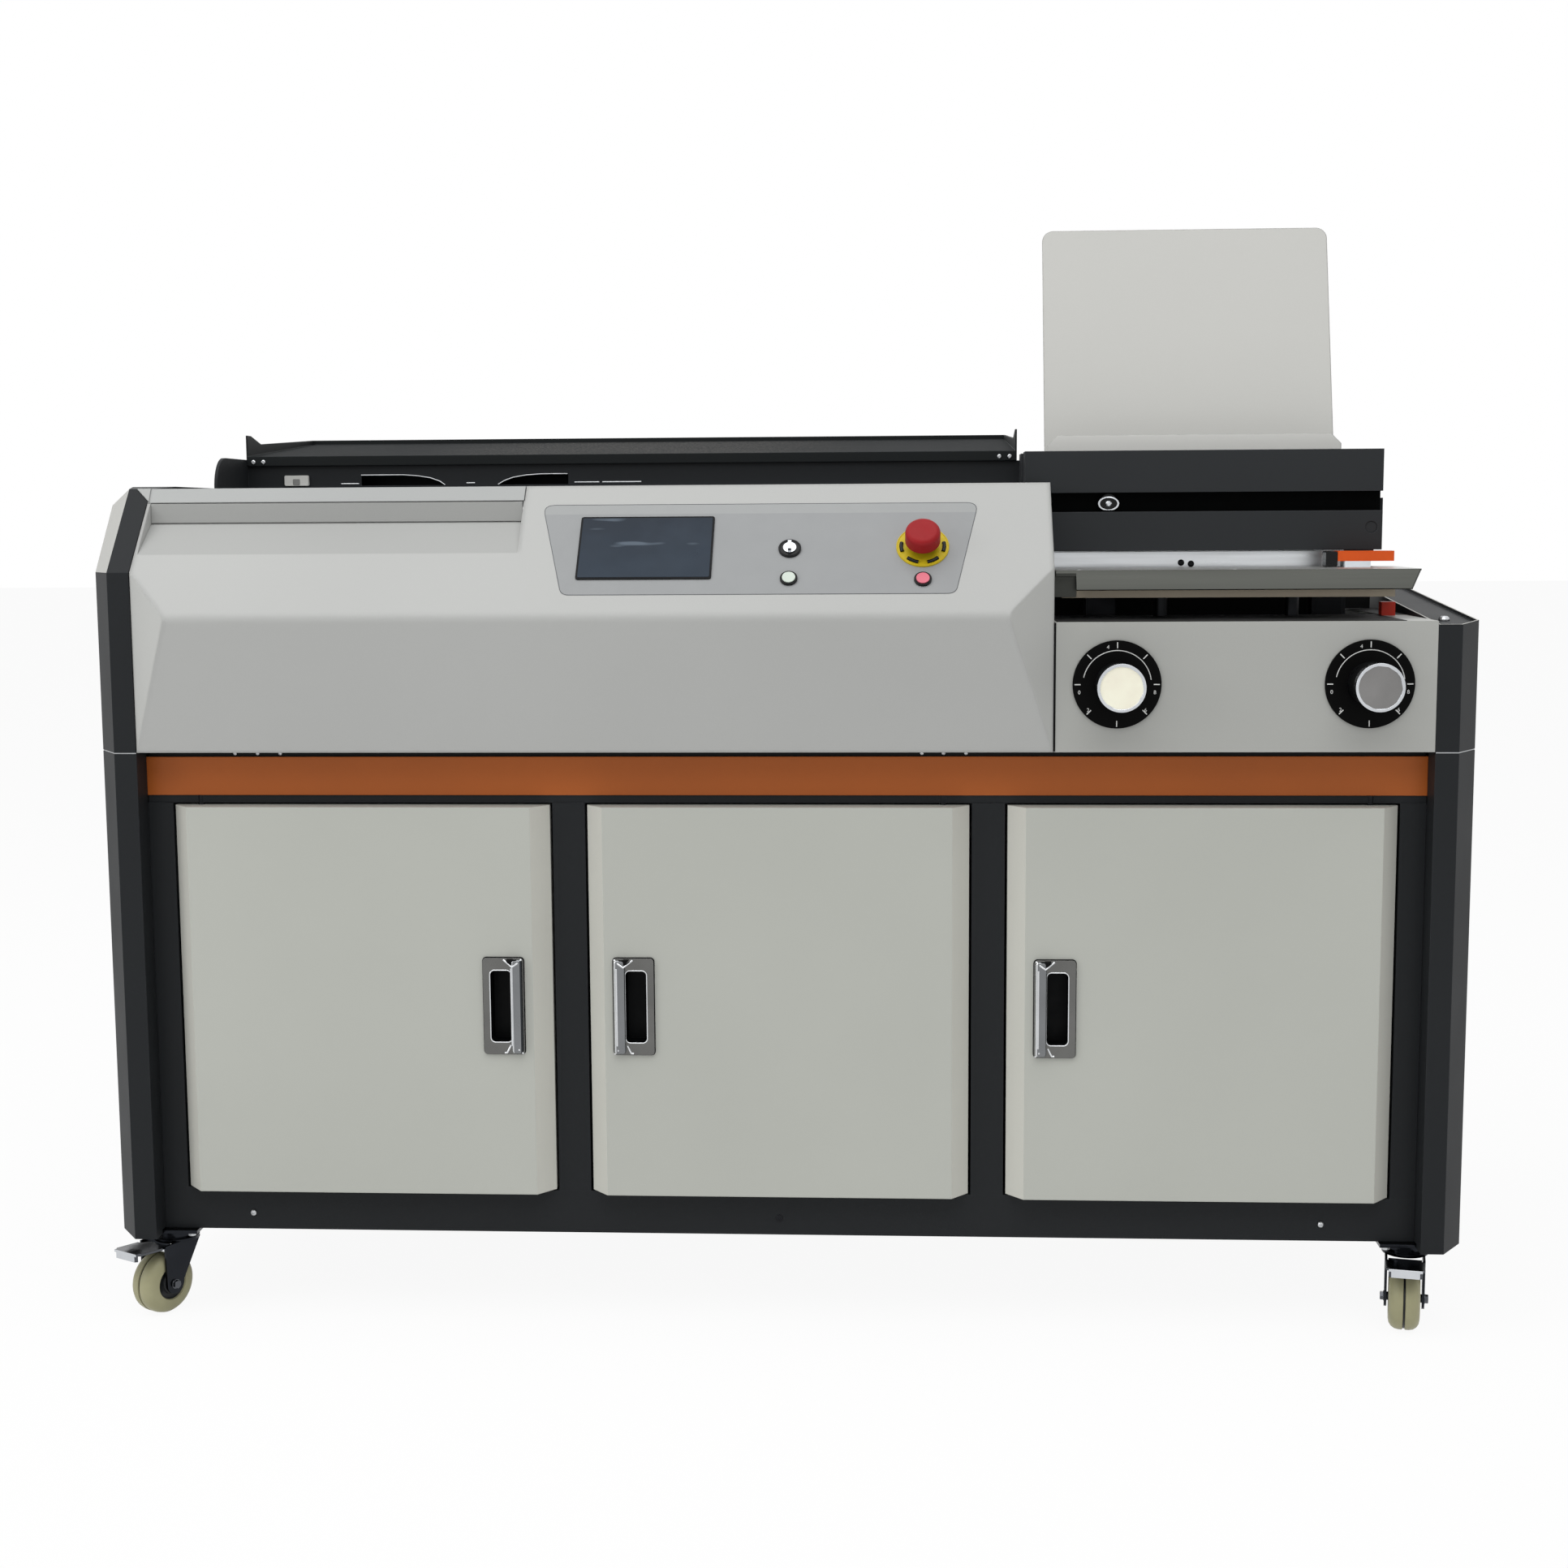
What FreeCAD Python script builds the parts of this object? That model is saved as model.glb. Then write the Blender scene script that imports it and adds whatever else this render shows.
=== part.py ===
"""Floor-standing perfect binding machine: cabinet, book clamp carriage, milling, gluing and nipping units.

Millimetres, +Z up.  X runs along the machine (left end negative), Y runs from the operator's side (negative)
to the back.  The origin is on the floor under the middle of the machine's outer box.
"""
import FreeCAD, Part
import math
import os

Vector = FreeCAD.Vector
along_x, along_y, upwards = Vector(1, 0, 0), Vector(0, 1, 0), Vector(0, 0, 1)

# ---------------------------------------------------------------- overall sizes
machine_width = 1600.0
body_depth = 680.0
knob_reach = 58.0                 # how far the knob caps stand out of the front
front_y = -(body_depth + knob_reach) / 2 + knob_reach
half_width = machine_width / 2
casing_width = 54.0               # from the outside of a side casing to the frame
sheet = 2.0                       # casing and panel steel
door_sheet = 1.5
touch_gap = 0.3                   # between neighbours that are not fastened to each other
running = 0.05                    # radial play of a shaft in its bore
through_gap = 0.6                 # radial play of a shaft that only passes a panel

# ---------------------------------------------------------------- casters
wheel_radius = 37.5
wheel_width = 36.0
wheel_edge_round = 12.0
axle_radius = 5.0
caster_trail = 25.0
crown_over_wheel = 10.5
crown_thickness = 4.0
crown_radius = 27.0
leg_thickness = 3.0
leg_gap = 2.0                     # between wheel and fork leg
leg_foot_radius = 12.0
race_radius = 22.0
kingpin_radius = 6.0
kingpin_recess = 1.0              # top of the kingpin below the mounting plate's top
leg_back_reach = 16.0
leg_front_reach = 6.0             # past the pedal pivot
leg_front_height = 9.0
wheel_dish_radius, wheel_dish_depth = 20.0, 3.0
plate_thickness = 4.0
plate_half = 38.0
plate_clearance = 1.0
caster_side_inset = 58.0          # kingpins from the machine's sides, front and back
front_caster_inset = 60.0
rear_caster_inset = 85.0
pedal_length = 62.0
pedal_thickness = 3.0
pedal_pivot_x = 32.0
pedal_pivot_radius = 3.0
pedal_pivot_drop = 4.5            # pivot below the crown
pedal_eye_wall = 2.0
pedal_side_gap = 1.0
pedal_rise = 3.0
pedal_tip = 14.0
pedal_foot_start = 10.0           # foot plate past the pivot
pedal_foot_width = 44.0
pedal_foot_corner = 6.0
pedal_lip_height = 10.0           # bent down at the foot plate's tip
left_caster_angle = 240.0
right_caster_angle = 258.0
rear_caster_angle = 90.0

# ---------------------------------------------------------------- cabinet frame
frame_over_crown = 20.3
beam_height = 51.4
frame_recess = 32.8               # front of the frame behind the front of the posts
tube_depth = 40.0
upright_width = 30.0
side_beam_gap = 8.0               # side beams to the casings' inside
divider_inner_x = 226.0
divider_outer_x = 264.3
door_bay_height = 467.8
top_rail_height = 55.0
bed_thickness = 8.0
side_rail_height = 40.0
floor_sheet = 1.5
strip_height = 45.6
strip_thickness = 2.0

# ---------------------------------------------------------------- side casings
casing_skirt = 3.8                # below the frame
seam_gap = 1.5
chamfer_width = 27.7
chamfer_depth = 40.0
upright_front_height = 209.0      # from the bed to where the front starts to slant back
slope_top_depth = 87.0
slope_rise = 97.0
crown_past_cowl = 2.0             # the casing's flat top starts behind the cowl's back edge
casing_crown_rise = 4.0           # above the top of the slope
outer_crown_depth = 105.0
outer_crown_drop = 19.0
right_post_height = 144.0
right_post_rise = 50.0            # its top climbs to the back
post_cap_recess = 4.0

# ---------------------------------------------------------------- doors
door_gap = 3.0
door_end_gap = 2.0
door_proud = 23.3
door_bevel = 19.9
door_pan_behind = 13.2            # rear edge of the pan behind the frame's front
door_pin_inset = 30.0
door_pin_behind = 5.2             # pins behind the frame's front
door_pin_radius = 4.0
door_pin_bite = 9.0
door_boss_radius = 7.0
handle_width = 48.0
handle_height = 115.0
handle_middle_height = 230.8       # above the bottom beam
handle_edge_distance = 54.5
handle_proud = 3.5
handle_corner = 4.0
cup_width = 27.5
cup_height = 88.0
cup_depth = 22.0
cup_wall = 1.5
cup_corner = 6.5
cup_offset = 3.0                  # from the bezel's middle, away from the door's free edge
lip_width = 13.5
lip_proud = 5.0
lip_inset = 1.0                   # from the bezel's edge
lip_corner = 4.0
lip_round = 3.5

# ---------------------------------------------------------------- front cowl and lid
working_width = 429.2             # open bay right of the cowl, up to the side casing
cowl_end_gap = 0.5
cowl_back_depth = 175.0
ridge_reach = 45.0
ridge_end_inset = 53.0
cowl_foot = 40.0
ridge_round = 14.0
lid_width = 448.5
lid_lip_s = 107.0                 # distances s are measured up the slope from its lower edge
lid_gap = 1.0
lid_return = 11.0
recess_low_s = 27.0
recess_deep = 20.0
recess_end_inset = 4.0
recess_run_in = 40.0              # how far the scoop goes on under the lid
lid_front_room = 20.0             # clear length inside the lid's top, in front of its fold
slab_reach = 60.0                 # half the thickness of the tools that cut the lid's opening
lid_shelf_depth, lid_shelf_height = 12.0, 10.0
lid_hinge_radius = 4.0

# ------------------------------------------------ controls on the slope, from the cowl's right end
screen_from_right, screen_s = 465.5, 32.5
screen_width, screen_height = 155.0, 94.0
screen_proud = 2.0
screen_body_depth = 38.0
screen_hole_margin = 5.0
screen_corner = 3.0
panel_punch = 16.0                # length of the tools that cut the holes in the slope
key_from_right, key_s = 299.8, 30.0
key_ring_radius = 13.0
key_grip_width, key_grip_height = 4.0, 5.0
key_grip_end_gap = 1.5
start_s = -14.4
button_radius = 7.5
button_ring_radius = 10.0
ring_height = 2.5
button_height = 4.0
estop_from_right, estop_s = 148.3, 32.0
stop_s = -16.5
estop_disc_radius = 30.0
estop_disc_height = 2.0
estop_neck_radius = 14.0
estop_head_radius = 20.0
estop_stand = 12.0
estop_head_height = 18.0
estop_neck_gap = 6.0
estop_round = 6.0
switch_body_depth = 30.0

# ---------------------------------------------------------------- right front panel and knobs
panel_gap = 0.8                   # between cowl and panel
panel_over_post = 4.0
deck_depth = 168.0
deck_side_depth = 600.0
deck_side_width = 33.0
knob_left_inset, knob_right_inset = 71.2, 75.4    # from the two ends of the working bay
knob_drop = 70.6                  # below the panel's top
dial_radius = 50.0
dial_thickness = 3.0
knob_radius = 25.5
knob_cap_radius = 27.0
knob_cap_length = 12.0
knob_cap_rim, knob_cap_dish = 3.0, 1.0
screw_radius = 6.0
rear_bearing_gap = 30.0           # behind the rear nipping jaw
bearing_half = 18.0
bearing_length = 12.0
front_bearing_depth = 14.0

# ---------------------------------------------------------------- nipping unit
nip_left_inset, nip_front_right_inset, nip_rear_right_inset = 13.2, 91.0, 56.0
nip_front_thickness, nip_rear_thickness = 25.0, 23.0
nip_front_gap, nip_rear_gap = 10.0, 12.0      # jaws to the middle of the book's slot
nip_height = 31.5
nip_clearance = 1.5               # under the clamp

# ---------------------------------------------------------------- cover table
table_left_inset, table_right_inset = 5.2, 8.0
table_over_panel = 57.0
table_front_depth, table_back_depth = 55.0, 203.0
table_lip_depth, table_lip_drop = 42.0, 22.0
table_lip_inset = 23.0
table_corner = 16.0
table_beam_inset = 28.0
table_beam_front, table_beam_back = 62.0, 100.0
table_beam_height = 30.0
table_post_radius = 8.0
table_post_inset = 64.0            # from the knobs' shafts
table_post_depth = 140.0
table_post_clearance = 2.0        # under the table top when it is fully down
table_boss_half = 18.0
table_drop = 12.0
lay_width, lay_right_inset = 66.0, 10.0
lay_front_depth, lay_back_depth = 150.0, 180.0
lay_base_left, lay_base_width = 8.0, 30.0
lay_lever_inset = 3.0
lay_base_height = 7.0
lay_height = 12.0
deck_stop_width, deck_stop_height = 16.0, 16.0
deck_stop_inset = 33.5

# ---------------------------------------------------------------- book clamp carriage
clamp_left_overhang, clamp_right_inset = 23.8, 26.0
clamp_front_depth = 185.0
front_jaw_thickness = 40.0
jaw_slot = 50.0
rear_jaw_thickness = 43.0
clamp_over_table, clamp_height = 20.0, 120.0
groove_low, groove_high = 47.0, 70.0          # above the clamp's underside
groove_deep = 15.0
guide_rod_radius = 7.0
guide_rod_inset = 13.0
guide_rod_rise = 27.0             # above the clamp's underside
guide_rod_recess = 1.0            # its end behind the front jaw's face
clamp_bolt_inset, clamp_bolt_radius, clamp_bolt_recess = 101.0, 10.0, 4.0
board_left_inset, board_right_inset = 29.0, 42.0
board_lean = 16.0
board_length = 292.0
board_thickness = 2.0
board_corner = 14.0
board_flange = 25.0
guide_plate_rise, guide_plate_corner = 20.0, 12.0
guide_plate_setback = 1.5         # short of the board's right edge

# ---------------------------------------------------------------- girder, rails and travel screw
girder_left_inset, girder_right_inset = 46.0, 6.0
carriage_end_room = 38.0          # between the carriage and the girder's end when it is fully left
girder_gap = 7.0                  # behind the carriage
girder_depth = 60.0
girder_height, girder_under_clamp = 126.0, 13.0
girder_wall = 3.0
rail_thickness, rail_height = 13.0, 20.0
rail_low_inset, rail_high_inset = 30.0, 50.0  # underside of the rails from the girder's bottom and top
rail_play = 0.3
cutouts = ((148.0, 258.0, 1), (326.0, 417.0, -1))    # from the girder's left end, and the side of the step
cutout_drop, cutout_height = 26.0, 14.0
cutout_step, cutout_step_height = 14.0, 8.0
support_width = 40.0
travel_screw_radius = 10.0
travel_screw_rise = 50.0          # above the clamp's underside
travel_screw_behind = 23.0        # behind the book's slot
end_plate_thickness = 4.0
end_plate_front_depth = 195.0
end_plate_rise = 8.0              # above the girder
end_plate_round = 38.0
screw_block_width = 12.0
screw_block_half, screw_block_rise = 20.0, 12.5
motor_radius = 22.0
motor_end_gap = 1.0               # to the side casing
screw_end_recess = 1.0            # in its bearings

# ---------------------------------------------------------------- tray
tray_end_gap = 3.0                # to the carriage at rest
tray_gap = 2.0                    # behind the carriage
tray_depth = 320.0
tray_front_rise, tray_slope_rise = 12.0, 26.0
tray_foot = 22.0
tray_back_lip = 6.0
tray_end_rise = 27.0
tray_end_fall = 9.0
tray_end_flat, tray_end_ramp = 16.0, 44.0

# ---------------------------------------------------------------- milling, dust and glue units
cutter_x = -60.0
cutter_radius, cutter_thickness = 68.0, 10.0
cutter_clearance = 7.0            # teeth to the clamp's underside
cutter_tooth_count, tooth_size, tooth_rise = 12, 9.0, 4.0
cutter_shaft_radius = 12.0
cutter_motor_radius, cutter_motor_height = 52.0, 162.0
hood_clearance = 3.0
hood_side_clearance = 10.0
hood_height, hood_under_cutter = 30.0, 4.0
duct_x, duct_radius = 72.0, 30.0
bin_half_width, bin_front_depth, bin_back_depth = 150.0, 150.0, 450.0
bin_height = 321.3
tank_left_inset, tank_length = 90.0, 240.0    # from the girder's left end
tank_depth = 120.0
tank_height, tank_under_clamp = 90.0, 33.0
tank_wall = 6.0
roller_inset, roller_radius, roller_drop = 140.0, 36.0, 14.0     # in from the tank's left end and top
roller_shaft_radius = 8.0
roller_end_gap = 4.0
stand_inset = 50.0

# ---------------------------------------------------------------- electrics
box_left_inset, box_right_inset = 55.7, 56.0    # from the bay's sides
box_front_depth, box_back_depth = 260.0, 590.0
box_height = 401.3
inlet_inset, inlet_rise = 126.0, 52.8
inlet_width, inlet_height, inlet_depth = 50.0, 60.0, 24.0
inlet_flange, inlet_flange_thickness = 6.0, 3.0
socket_width, socket_height, socket_depth = 28.0, 20.0, 14.0
louvre_count, louvre_width, louvre_height, louvre_pitch = 8, 220.0, 6.0, 18.0
louvre_rise = 262.8               # above the bottom beam
louvre_middle_x = 480.0           # the outer groups' middles

# ---------------------------------------------------------------- values worked out from the sizes above
post_inner_x = half_width - casing_width
upright_inner_x = post_inner_x - upright_width
side_beam_outer_x = half_width - sheet - side_beam_gap
caster_x = half_width - caster_side_inset
front_caster_depth, rear_caster_depth = front_caster_inset, body_depth - rear_caster_inset
crown_z = 2 * wheel_radius + crown_over_wheel
pedal_pivot_z = crown_z - pedal_pivot_drop
frame_bottom = crown_z + frame_over_crown
frame_top_of_beam = frame_bottom + beam_height
casing_bottom = frame_bottom - casing_skirt
door_bay_top = frame_top_of_beam + door_bay_height
bed_bottom = door_bay_top + top_rail_height
strip_bottom = bed_bottom - strip_height
upper_bottom = bed_bottom + bed_thickness
rear_plane = body_depth - frame_recess
rear_tube_front = rear_plane - tube_depth
handle_middle_z = frame_top_of_beam + handle_middle_height
door_back_depth, door_pin_depth = frame_recess + door_pan_behind, frame_recess + door_pin_behind

slope_break_z = upper_bottom + upright_front_height
slope_top_z = slope_break_z + slope_rise
slope_length = math.hypot(slope_top_depth, slope_rise)
up_slope = Vector(0, slope_top_depth / slope_length, slope_rise / slope_length)
out_of_slope = Vector(0, -up_slope.z, up_slope.y)
casing_crown_depth = cowl_back_depth + crown_past_cowl
casing_crown_z, outer_crown_z = slope_top_z + casing_crown_rise, slope_top_z - outer_crown_drop
ridge_z = slope_break_z - ridge_reach * slope_rise / slope_top_depth
cowl_left_x, cowl_right_x = -post_inner_x + cowl_end_gap, post_inner_x - working_width
lid_right_x = cowl_left_x + lid_width
lid_hinge_depth, lid_hinge_z = casing_crown_depth - lid_hinge_radius, slope_top_z - lid_hinge_radius
screen_x, key_x = cowl_right_x - screen_from_right, cowl_right_x - key_from_right
estop_x = cowl_right_x - estop_from_right

right_post_top = upper_bottom + right_post_height
right_post_back_top = right_post_top + right_post_rise
panel_top_z = right_post_top + panel_over_post
panel_left_x, panel_right_x = cowl_right_x + panel_gap, post_inner_x - cowl_end_gap
knob_left_x, knob_right_x = cowl_right_x + knob_left_inset, post_inner_x - knob_right_inset
knob_z = panel_top_z - knob_drop
table_left_x, table_right_x = cowl_right_x + table_left_inset, post_inner_x - table_right_inset
table_top_z = panel_top_z + table_over_panel
table_lip_z, table_lip_left_x = table_top_z - table_lip_drop, table_left_x + table_lip_inset
table_beam_bottom = table_top_z - sheet - table_beam_height
table_beam_right_x = table_right_x - table_beam_inset
table_post_x = (knob_left_x + table_post_inset, knob_right_x - table_post_inset)
table_post_top = table_top_z - sheet - table_drop - table_post_clearance
lay_right_x = table_right_x - lay_right_inset
lay_left_x = lay_right_x - lay_width
deck_stop_x = panel_right_x - deck_stop_inset

clamp_left_x, clamp_right_x = cowl_right_x - clamp_left_overhang, post_inner_x - clamp_right_inset
clamp_bottom_z = table_top_z + clamp_over_table
clamp_top_z = clamp_bottom_z + clamp_height
groove_bottom_z, groove_top_z = clamp_bottom_z + groove_low, clamp_bottom_z + groove_high
guide_rod_z = clamp_bottom_z + guide_rod_rise
clamp_bolt_x = clamp_left_x + clamp_bolt_inset
board_left_x, board_right_x = clamp_left_x + board_left_inset, clamp_right_x - board_right_inset
guide_plate_right_x = board_right_x - guide_plate_setback
slot_front = clamp_front_depth + front_jaw_thickness
slot_back = slot_front + jaw_slot
slot_middle = (slot_front + slot_back) / 2
carriage_back = slot_back + rear_jaw_thickness
nip_front_depth = slot_middle - nip_front_gap - nip_front_thickness
nip_rear_depth = slot_middle + nip_rear_gap
screw_end_depth = nip_rear_depth + nip_rear_thickness + rear_bearing_gap + bearing_length
nip_top_z = clamp_bottom_z - nip_clearance
nip_bottom_z = nip_top_z - nip_height
nip_left_x = cowl_right_x + nip_left_inset
nip_front_right_x = post_inner_x - nip_front_right_inset
nip_rear_right_x = post_inner_x - nip_rear_right_inset

girder_left_x, girder_right_x = -post_inner_x + girder_left_inset, post_inner_x - girder_right_inset
girder_front_depth = carriage_back + girder_gap
girder_back_depth = girder_front_depth + girder_depth
girder_bottom_z = clamp_bottom_z - girder_under_clamp
girder_top_z = girder_bottom_z + girder_height
travel = clamp_left_x - girder_left_x - carriage_end_room
rail_z = (girder_bottom_z + rail_low_inset, girder_top_z - rail_high_inset)
cutout_bottom_z = girder_top_z - cutout_drop
cutout_top_z = cutout_bottom_z + cutout_height
travel_screw_depth, travel_screw_z = slot_back + travel_screw_behind, clamp_bottom_z + travel_screw_rise
end_plate_top_z = girder_top_z + end_plate_rise
tray_right_x = clamp_left_x - tray_end_gap
tray_front_depth = carriage_back + tray_gap
tray_back_depth = tray_front_depth + tray_depth
tray_front_z = girder_top_z + tray_front_rise
tray_back_z = tray_front_z + tray_slope_rise

cutter_depth = slot_middle
cutter_z = clamp_bottom_z - cutter_clearance - tooth_rise - cutter_thickness
cutter_motor_top = upper_bottom + cutter_motor_height
hood_top_z = cutter_z - hood_under_cutter
hood_bottom_z = hood_top_z - hood_height
hood_front_depth = cutter_depth - cutter_radius - hood_clearance - sheet
hood_back_depth = cutter_depth + cutter_radius + hood_clearance + sheet
hood_left_x = cutter_x - cutter_radius - hood_side_clearance - sheet
hood_right_x = duct_x + duct_radius + hood_side_clearance
bin_bottom = frame_top_of_beam + floor_sheet
bin_top_z = bin_bottom + bin_height
tank_left_x = girder_left_x + tank_left_inset
tank_right_x = tank_left_x + tank_length
tank_front_depth, tank_back_depth = slot_middle - tank_depth / 2, slot_middle + tank_depth / 2
tank_top_z = clamp_bottom_z - tank_under_clamp
tank_bottom_z = tank_top_z - tank_height
roller_x, roller_z = tank_left_x + roller_inset, tank_top_z - roller_drop
box_left_x, box_right_x = divider_outer_x + box_left_inset, upright_inner_x - box_right_inset
box_top_z = bin_bottom + box_height
inlet_x, inlet_z = post_inner_x - inlet_inset, frame_top_of_beam + inlet_rise
louvre_low_z = frame_top_of_beam + louvre_rise
door_bays = {   # left edge, right edge, hinge side (-1 left, 1 right)
    "left": (-upright_inner_x + door_gap, -divider_outer_x - door_gap, -1),
    "middle": (-divider_inner_x + door_gap, divider_inner_x - door_gap, 1),
    "right": (divider_outer_x + door_gap, upright_inner_x - door_gap, 1),
}
door_pin_xs = [(x0 if side < 0 else x1) - side * door_pin_inset for x0, x1, side in door_bays.values()]
caster_places = {   # x, depth and the way its trail points, in degrees from +X
    "front_left": (-caster_x, front_caster_depth, left_caster_angle),
    "front_right": (caster_x, front_caster_depth, right_caster_angle),
    "rear_left": (-caster_x, rear_caster_depth, rear_caster_angle),
    "rear_right": (caster_x, rear_caster_depth, rear_caster_angle),
}


# ---------------------------------------------------------------- helpers
def y_at(depth):
    """Y of a plane the given depth behind the front of the posts."""
    return front_y + depth


def block(x0, x1, depth0, depth1, z0, z1):
    return Part.makeBox(x1 - x0, depth1 - depth0, z1 - z0, Vector(x0, y_at(depth0), z0))


def rod(radius, length, x, depth, z, direction):
    return Part.makeCylinder(radius, length, Vector(x, y_at(depth), z), direction)


def prism_x(outline, x0, x1):
    """Extrudes an outline of (depth, z) points from x0 to x1."""
    points = [Vector(x0, y_at(depth), z) for depth, z in outline]
    return Part.Face(Part.makePolygon(points + points[:1])).extrude(Vector(x1 - x0, 0, 0))


def prism_y(outline, depth0, depth1):
    """Extrudes an outline of (x, z) points from one depth to another."""
    points = [Vector(x, y_at(depth0), z) for x, z in outline]
    return Part.Face(Part.makePolygon(points + points[:1])).extrude(Vector(0, depth1 - depth0, 0))


def prism_z(outline, z0, z1):
    """Extrudes an outline of (x, depth) points from z0 to z1."""
    points = [Vector(x, y_at(depth), z0) for x, depth in outline]
    return Part.Face(Part.makePolygon(points + points[:1])).extrude(Vector(0, 0, z1 - z0))


def line_crossing(a, b, c, d):
    """Where the line through a and b meets the line through c and d."""
    ux, uy, vx, vy = b[0] - a[0], b[1] - a[1], d[0] - c[0], d[1] - c[1]
    t = ((c[0] - a[0]) * vy - (c[1] - a[1]) * vx) / (ux * vy - uy * vx)
    return a[0] + t * ux, a[1] + t * uy


def shifted(a, b, distance):
    """The segment a-b moved to its left by a distance."""
    length = math.hypot(b[0] - a[0], b[1] - a[1])
    nx, ny = -(b[1] - a[1]) / length * distance, (b[0] - a[0]) / length * distance
    return (a[0] + nx, a[1] + ny), (b[0] + nx, b[1] + ny)


def offset_path(path, distance):
    """An open path moved to its left, with mitred corners."""
    edges = [shifted(a, b, distance) for a, b in zip(path, path[1:])]
    corners = [line_crossing(*first, *second) for first, second in zip(edges, edges[1:])]
    return [edges[0][0]] + corners + [edges[-1][1]]


def folded(path, thickness):
    """The closed outline of a folded sheet whose one side follows the path."""
    return path + offset_path(path, thickness)[::-1]


def inset_outline(outline, distance):
    """A closed outline moved to its left on every side."""
    edges = [shifted(a, b, distance) for a, b in zip(outline, outline[1:] + outline[:1])]
    return [line_crossing(*before, *after) for before, after in zip(edges[-1:] + edges[:-1], edges)]


def solid_of(faces):
    """A solid from lists of corner points, one list for each flat face."""
    shell = Part.makeShell([Part.Face(Part.makePolygon(corners + corners[:1])) for corners in faces])
    solid = Part.makeSolid(shell)
    if solid.Volume < 0:
        solid.reverse()
    return solid


def mirrored(shape):
    return shape.mirror(Vector(0, 0, 0), along_x)


def rounded_plate(width, height, thickness, corner):
    """A plate centred on the origin in XY, standing on Z = 0, with rounded corners."""
    plate = Part.makeBox(width, height, thickness, Vector(-width / 2, -height / 2, 0))
    upright = [e for e in plate.Edges if abs(e.Vertexes[0].Z - e.Vertexes[1].Z) > thickness / 2]
    return plate.makeFillet(corner, upright)


def on_slope(shape, x, s, height=0.0):
    """Places a shape drawn flat in XY on the slope, its Z pointing out of the slope."""
    foot = Vector(x, y_at(0), slope_break_z) + up_slope * s + out_of_slope * height
    matrix = FreeCAD.Matrix(1, 0, 0, foot.x,
                            0, up_slope.y, out_of_slope.y, foot.y,
                            0, up_slope.z, out_of_slope.z, foot.z)
    placed = shape.copy()
    placed.transformShape(matrix)
    return placed


def on_front(shape, x, z, depth):
    """Places a shape drawn flat in XY on a vertical front face, its Z pointing to the operator."""
    placed = shape.copy()
    placed.rotate(Vector(0, 0, 0), along_x, 90)
    placed.translate(Vector(x, y_at(depth), z))
    return placed


def save(node, *solids):
    shape = solids[0] if len(solids) == 1 else Part.makeCompound(list(solids))
    shape.exportStep("parts/" + node + ".step")
    print(f"{node:24s} {len(shape.Solids)} solids {shape.Volume / 1000:10.1f} cm3 valid {shape.isValid()}")


# ---------------------------------------------------------------- cabinet
def make_cabinet_frame():
    """Welded tubes: base ring, uprights, dividers, top ring, cross members and the floor sheet."""
    front, back = frame_recess, frame_recess + tube_depth
    rear_front = rear_tube_front
    solids = []
    for depth0, depth1 in ((front, back), (rear_front, rear_plane)):
        solids.append(block(-post_inner_x, post_inner_x, depth0, depth1, frame_bottom, frame_top_of_beam))
        rail_front = depth0 + strip_thickness if depth0 == front else depth0
        solids.append(block(-post_inner_x, post_inner_x, rail_front, depth1, door_bay_top, bed_bottom))
        for x0, x1 in ((-post_inner_x, -upright_inner_x), (upright_inner_x, post_inner_x)):
            solids.append(block(x0, x1, depth0, depth1, frame_top_of_beam, door_bay_top))
    for side in (-1, 1):
        x0, x1 = sorted((side * side_beam_outer_x, side * upright_inner_x))
        solids.append(block(x0, x1, back, rear_front, frame_bottom, frame_top_of_beam))
        rail_x0, rail_x1 = sorted((side * post_inner_x, side * upright_inner_x))
        solids.append(block(rail_x0, rail_x1, back, rear_front, bed_bottom - side_rail_height, bed_bottom))
        x0, x1 = sorted((side * divider_inner_x, side * divider_outer_x))
        solids.append(block(x0, x1, front, back, frame_top_of_beam, door_bay_top))
        solids.append(block(x0, x1, back, rear_front, frame_bottom, frame_top_of_beam))
        solids.append(block(x0, x1, back, rear_front, bed_bottom - side_rail_height, bed_bottom))
    solids.append(block(-upright_inner_x, upright_inner_x, back, rear_front,
                        frame_top_of_beam, frame_top_of_beam + floor_sheet))
    holes = [rod(door_pin_radius, door_pin_bite, x, door_pin_depth, z, upwards)
             for x in door_pin_xs for z in (frame_top_of_beam - door_pin_bite, door_bay_top)]
    drilled = []
    for solid in solids:
        for hole in holes:
            if solid.BoundBox.intersect(hole.BoundBox):
                solid = solid.cut(hole)
        drilled.append(solid)
    save("cabinet_frame", *drilled)


def casing_plan(inset):
    """Plan of the left side casing as (x, depth) points, from its front return to its rear return."""
    x_in, x_out = -post_inner_x - sheet, -half_width
    x_face = -half_width + chamfer_width
    path = [(x_in, frame_recess), (x_in, 0.0), (x_face, 0.0), (x_out, chamfer_depth),
            (x_out, body_depth - chamfer_depth), (x_face, body_depth), (x_in, body_depth),
            (x_in, body_depth - frame_recess)]
    return offset_path(path, inset) if inset else path


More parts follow.
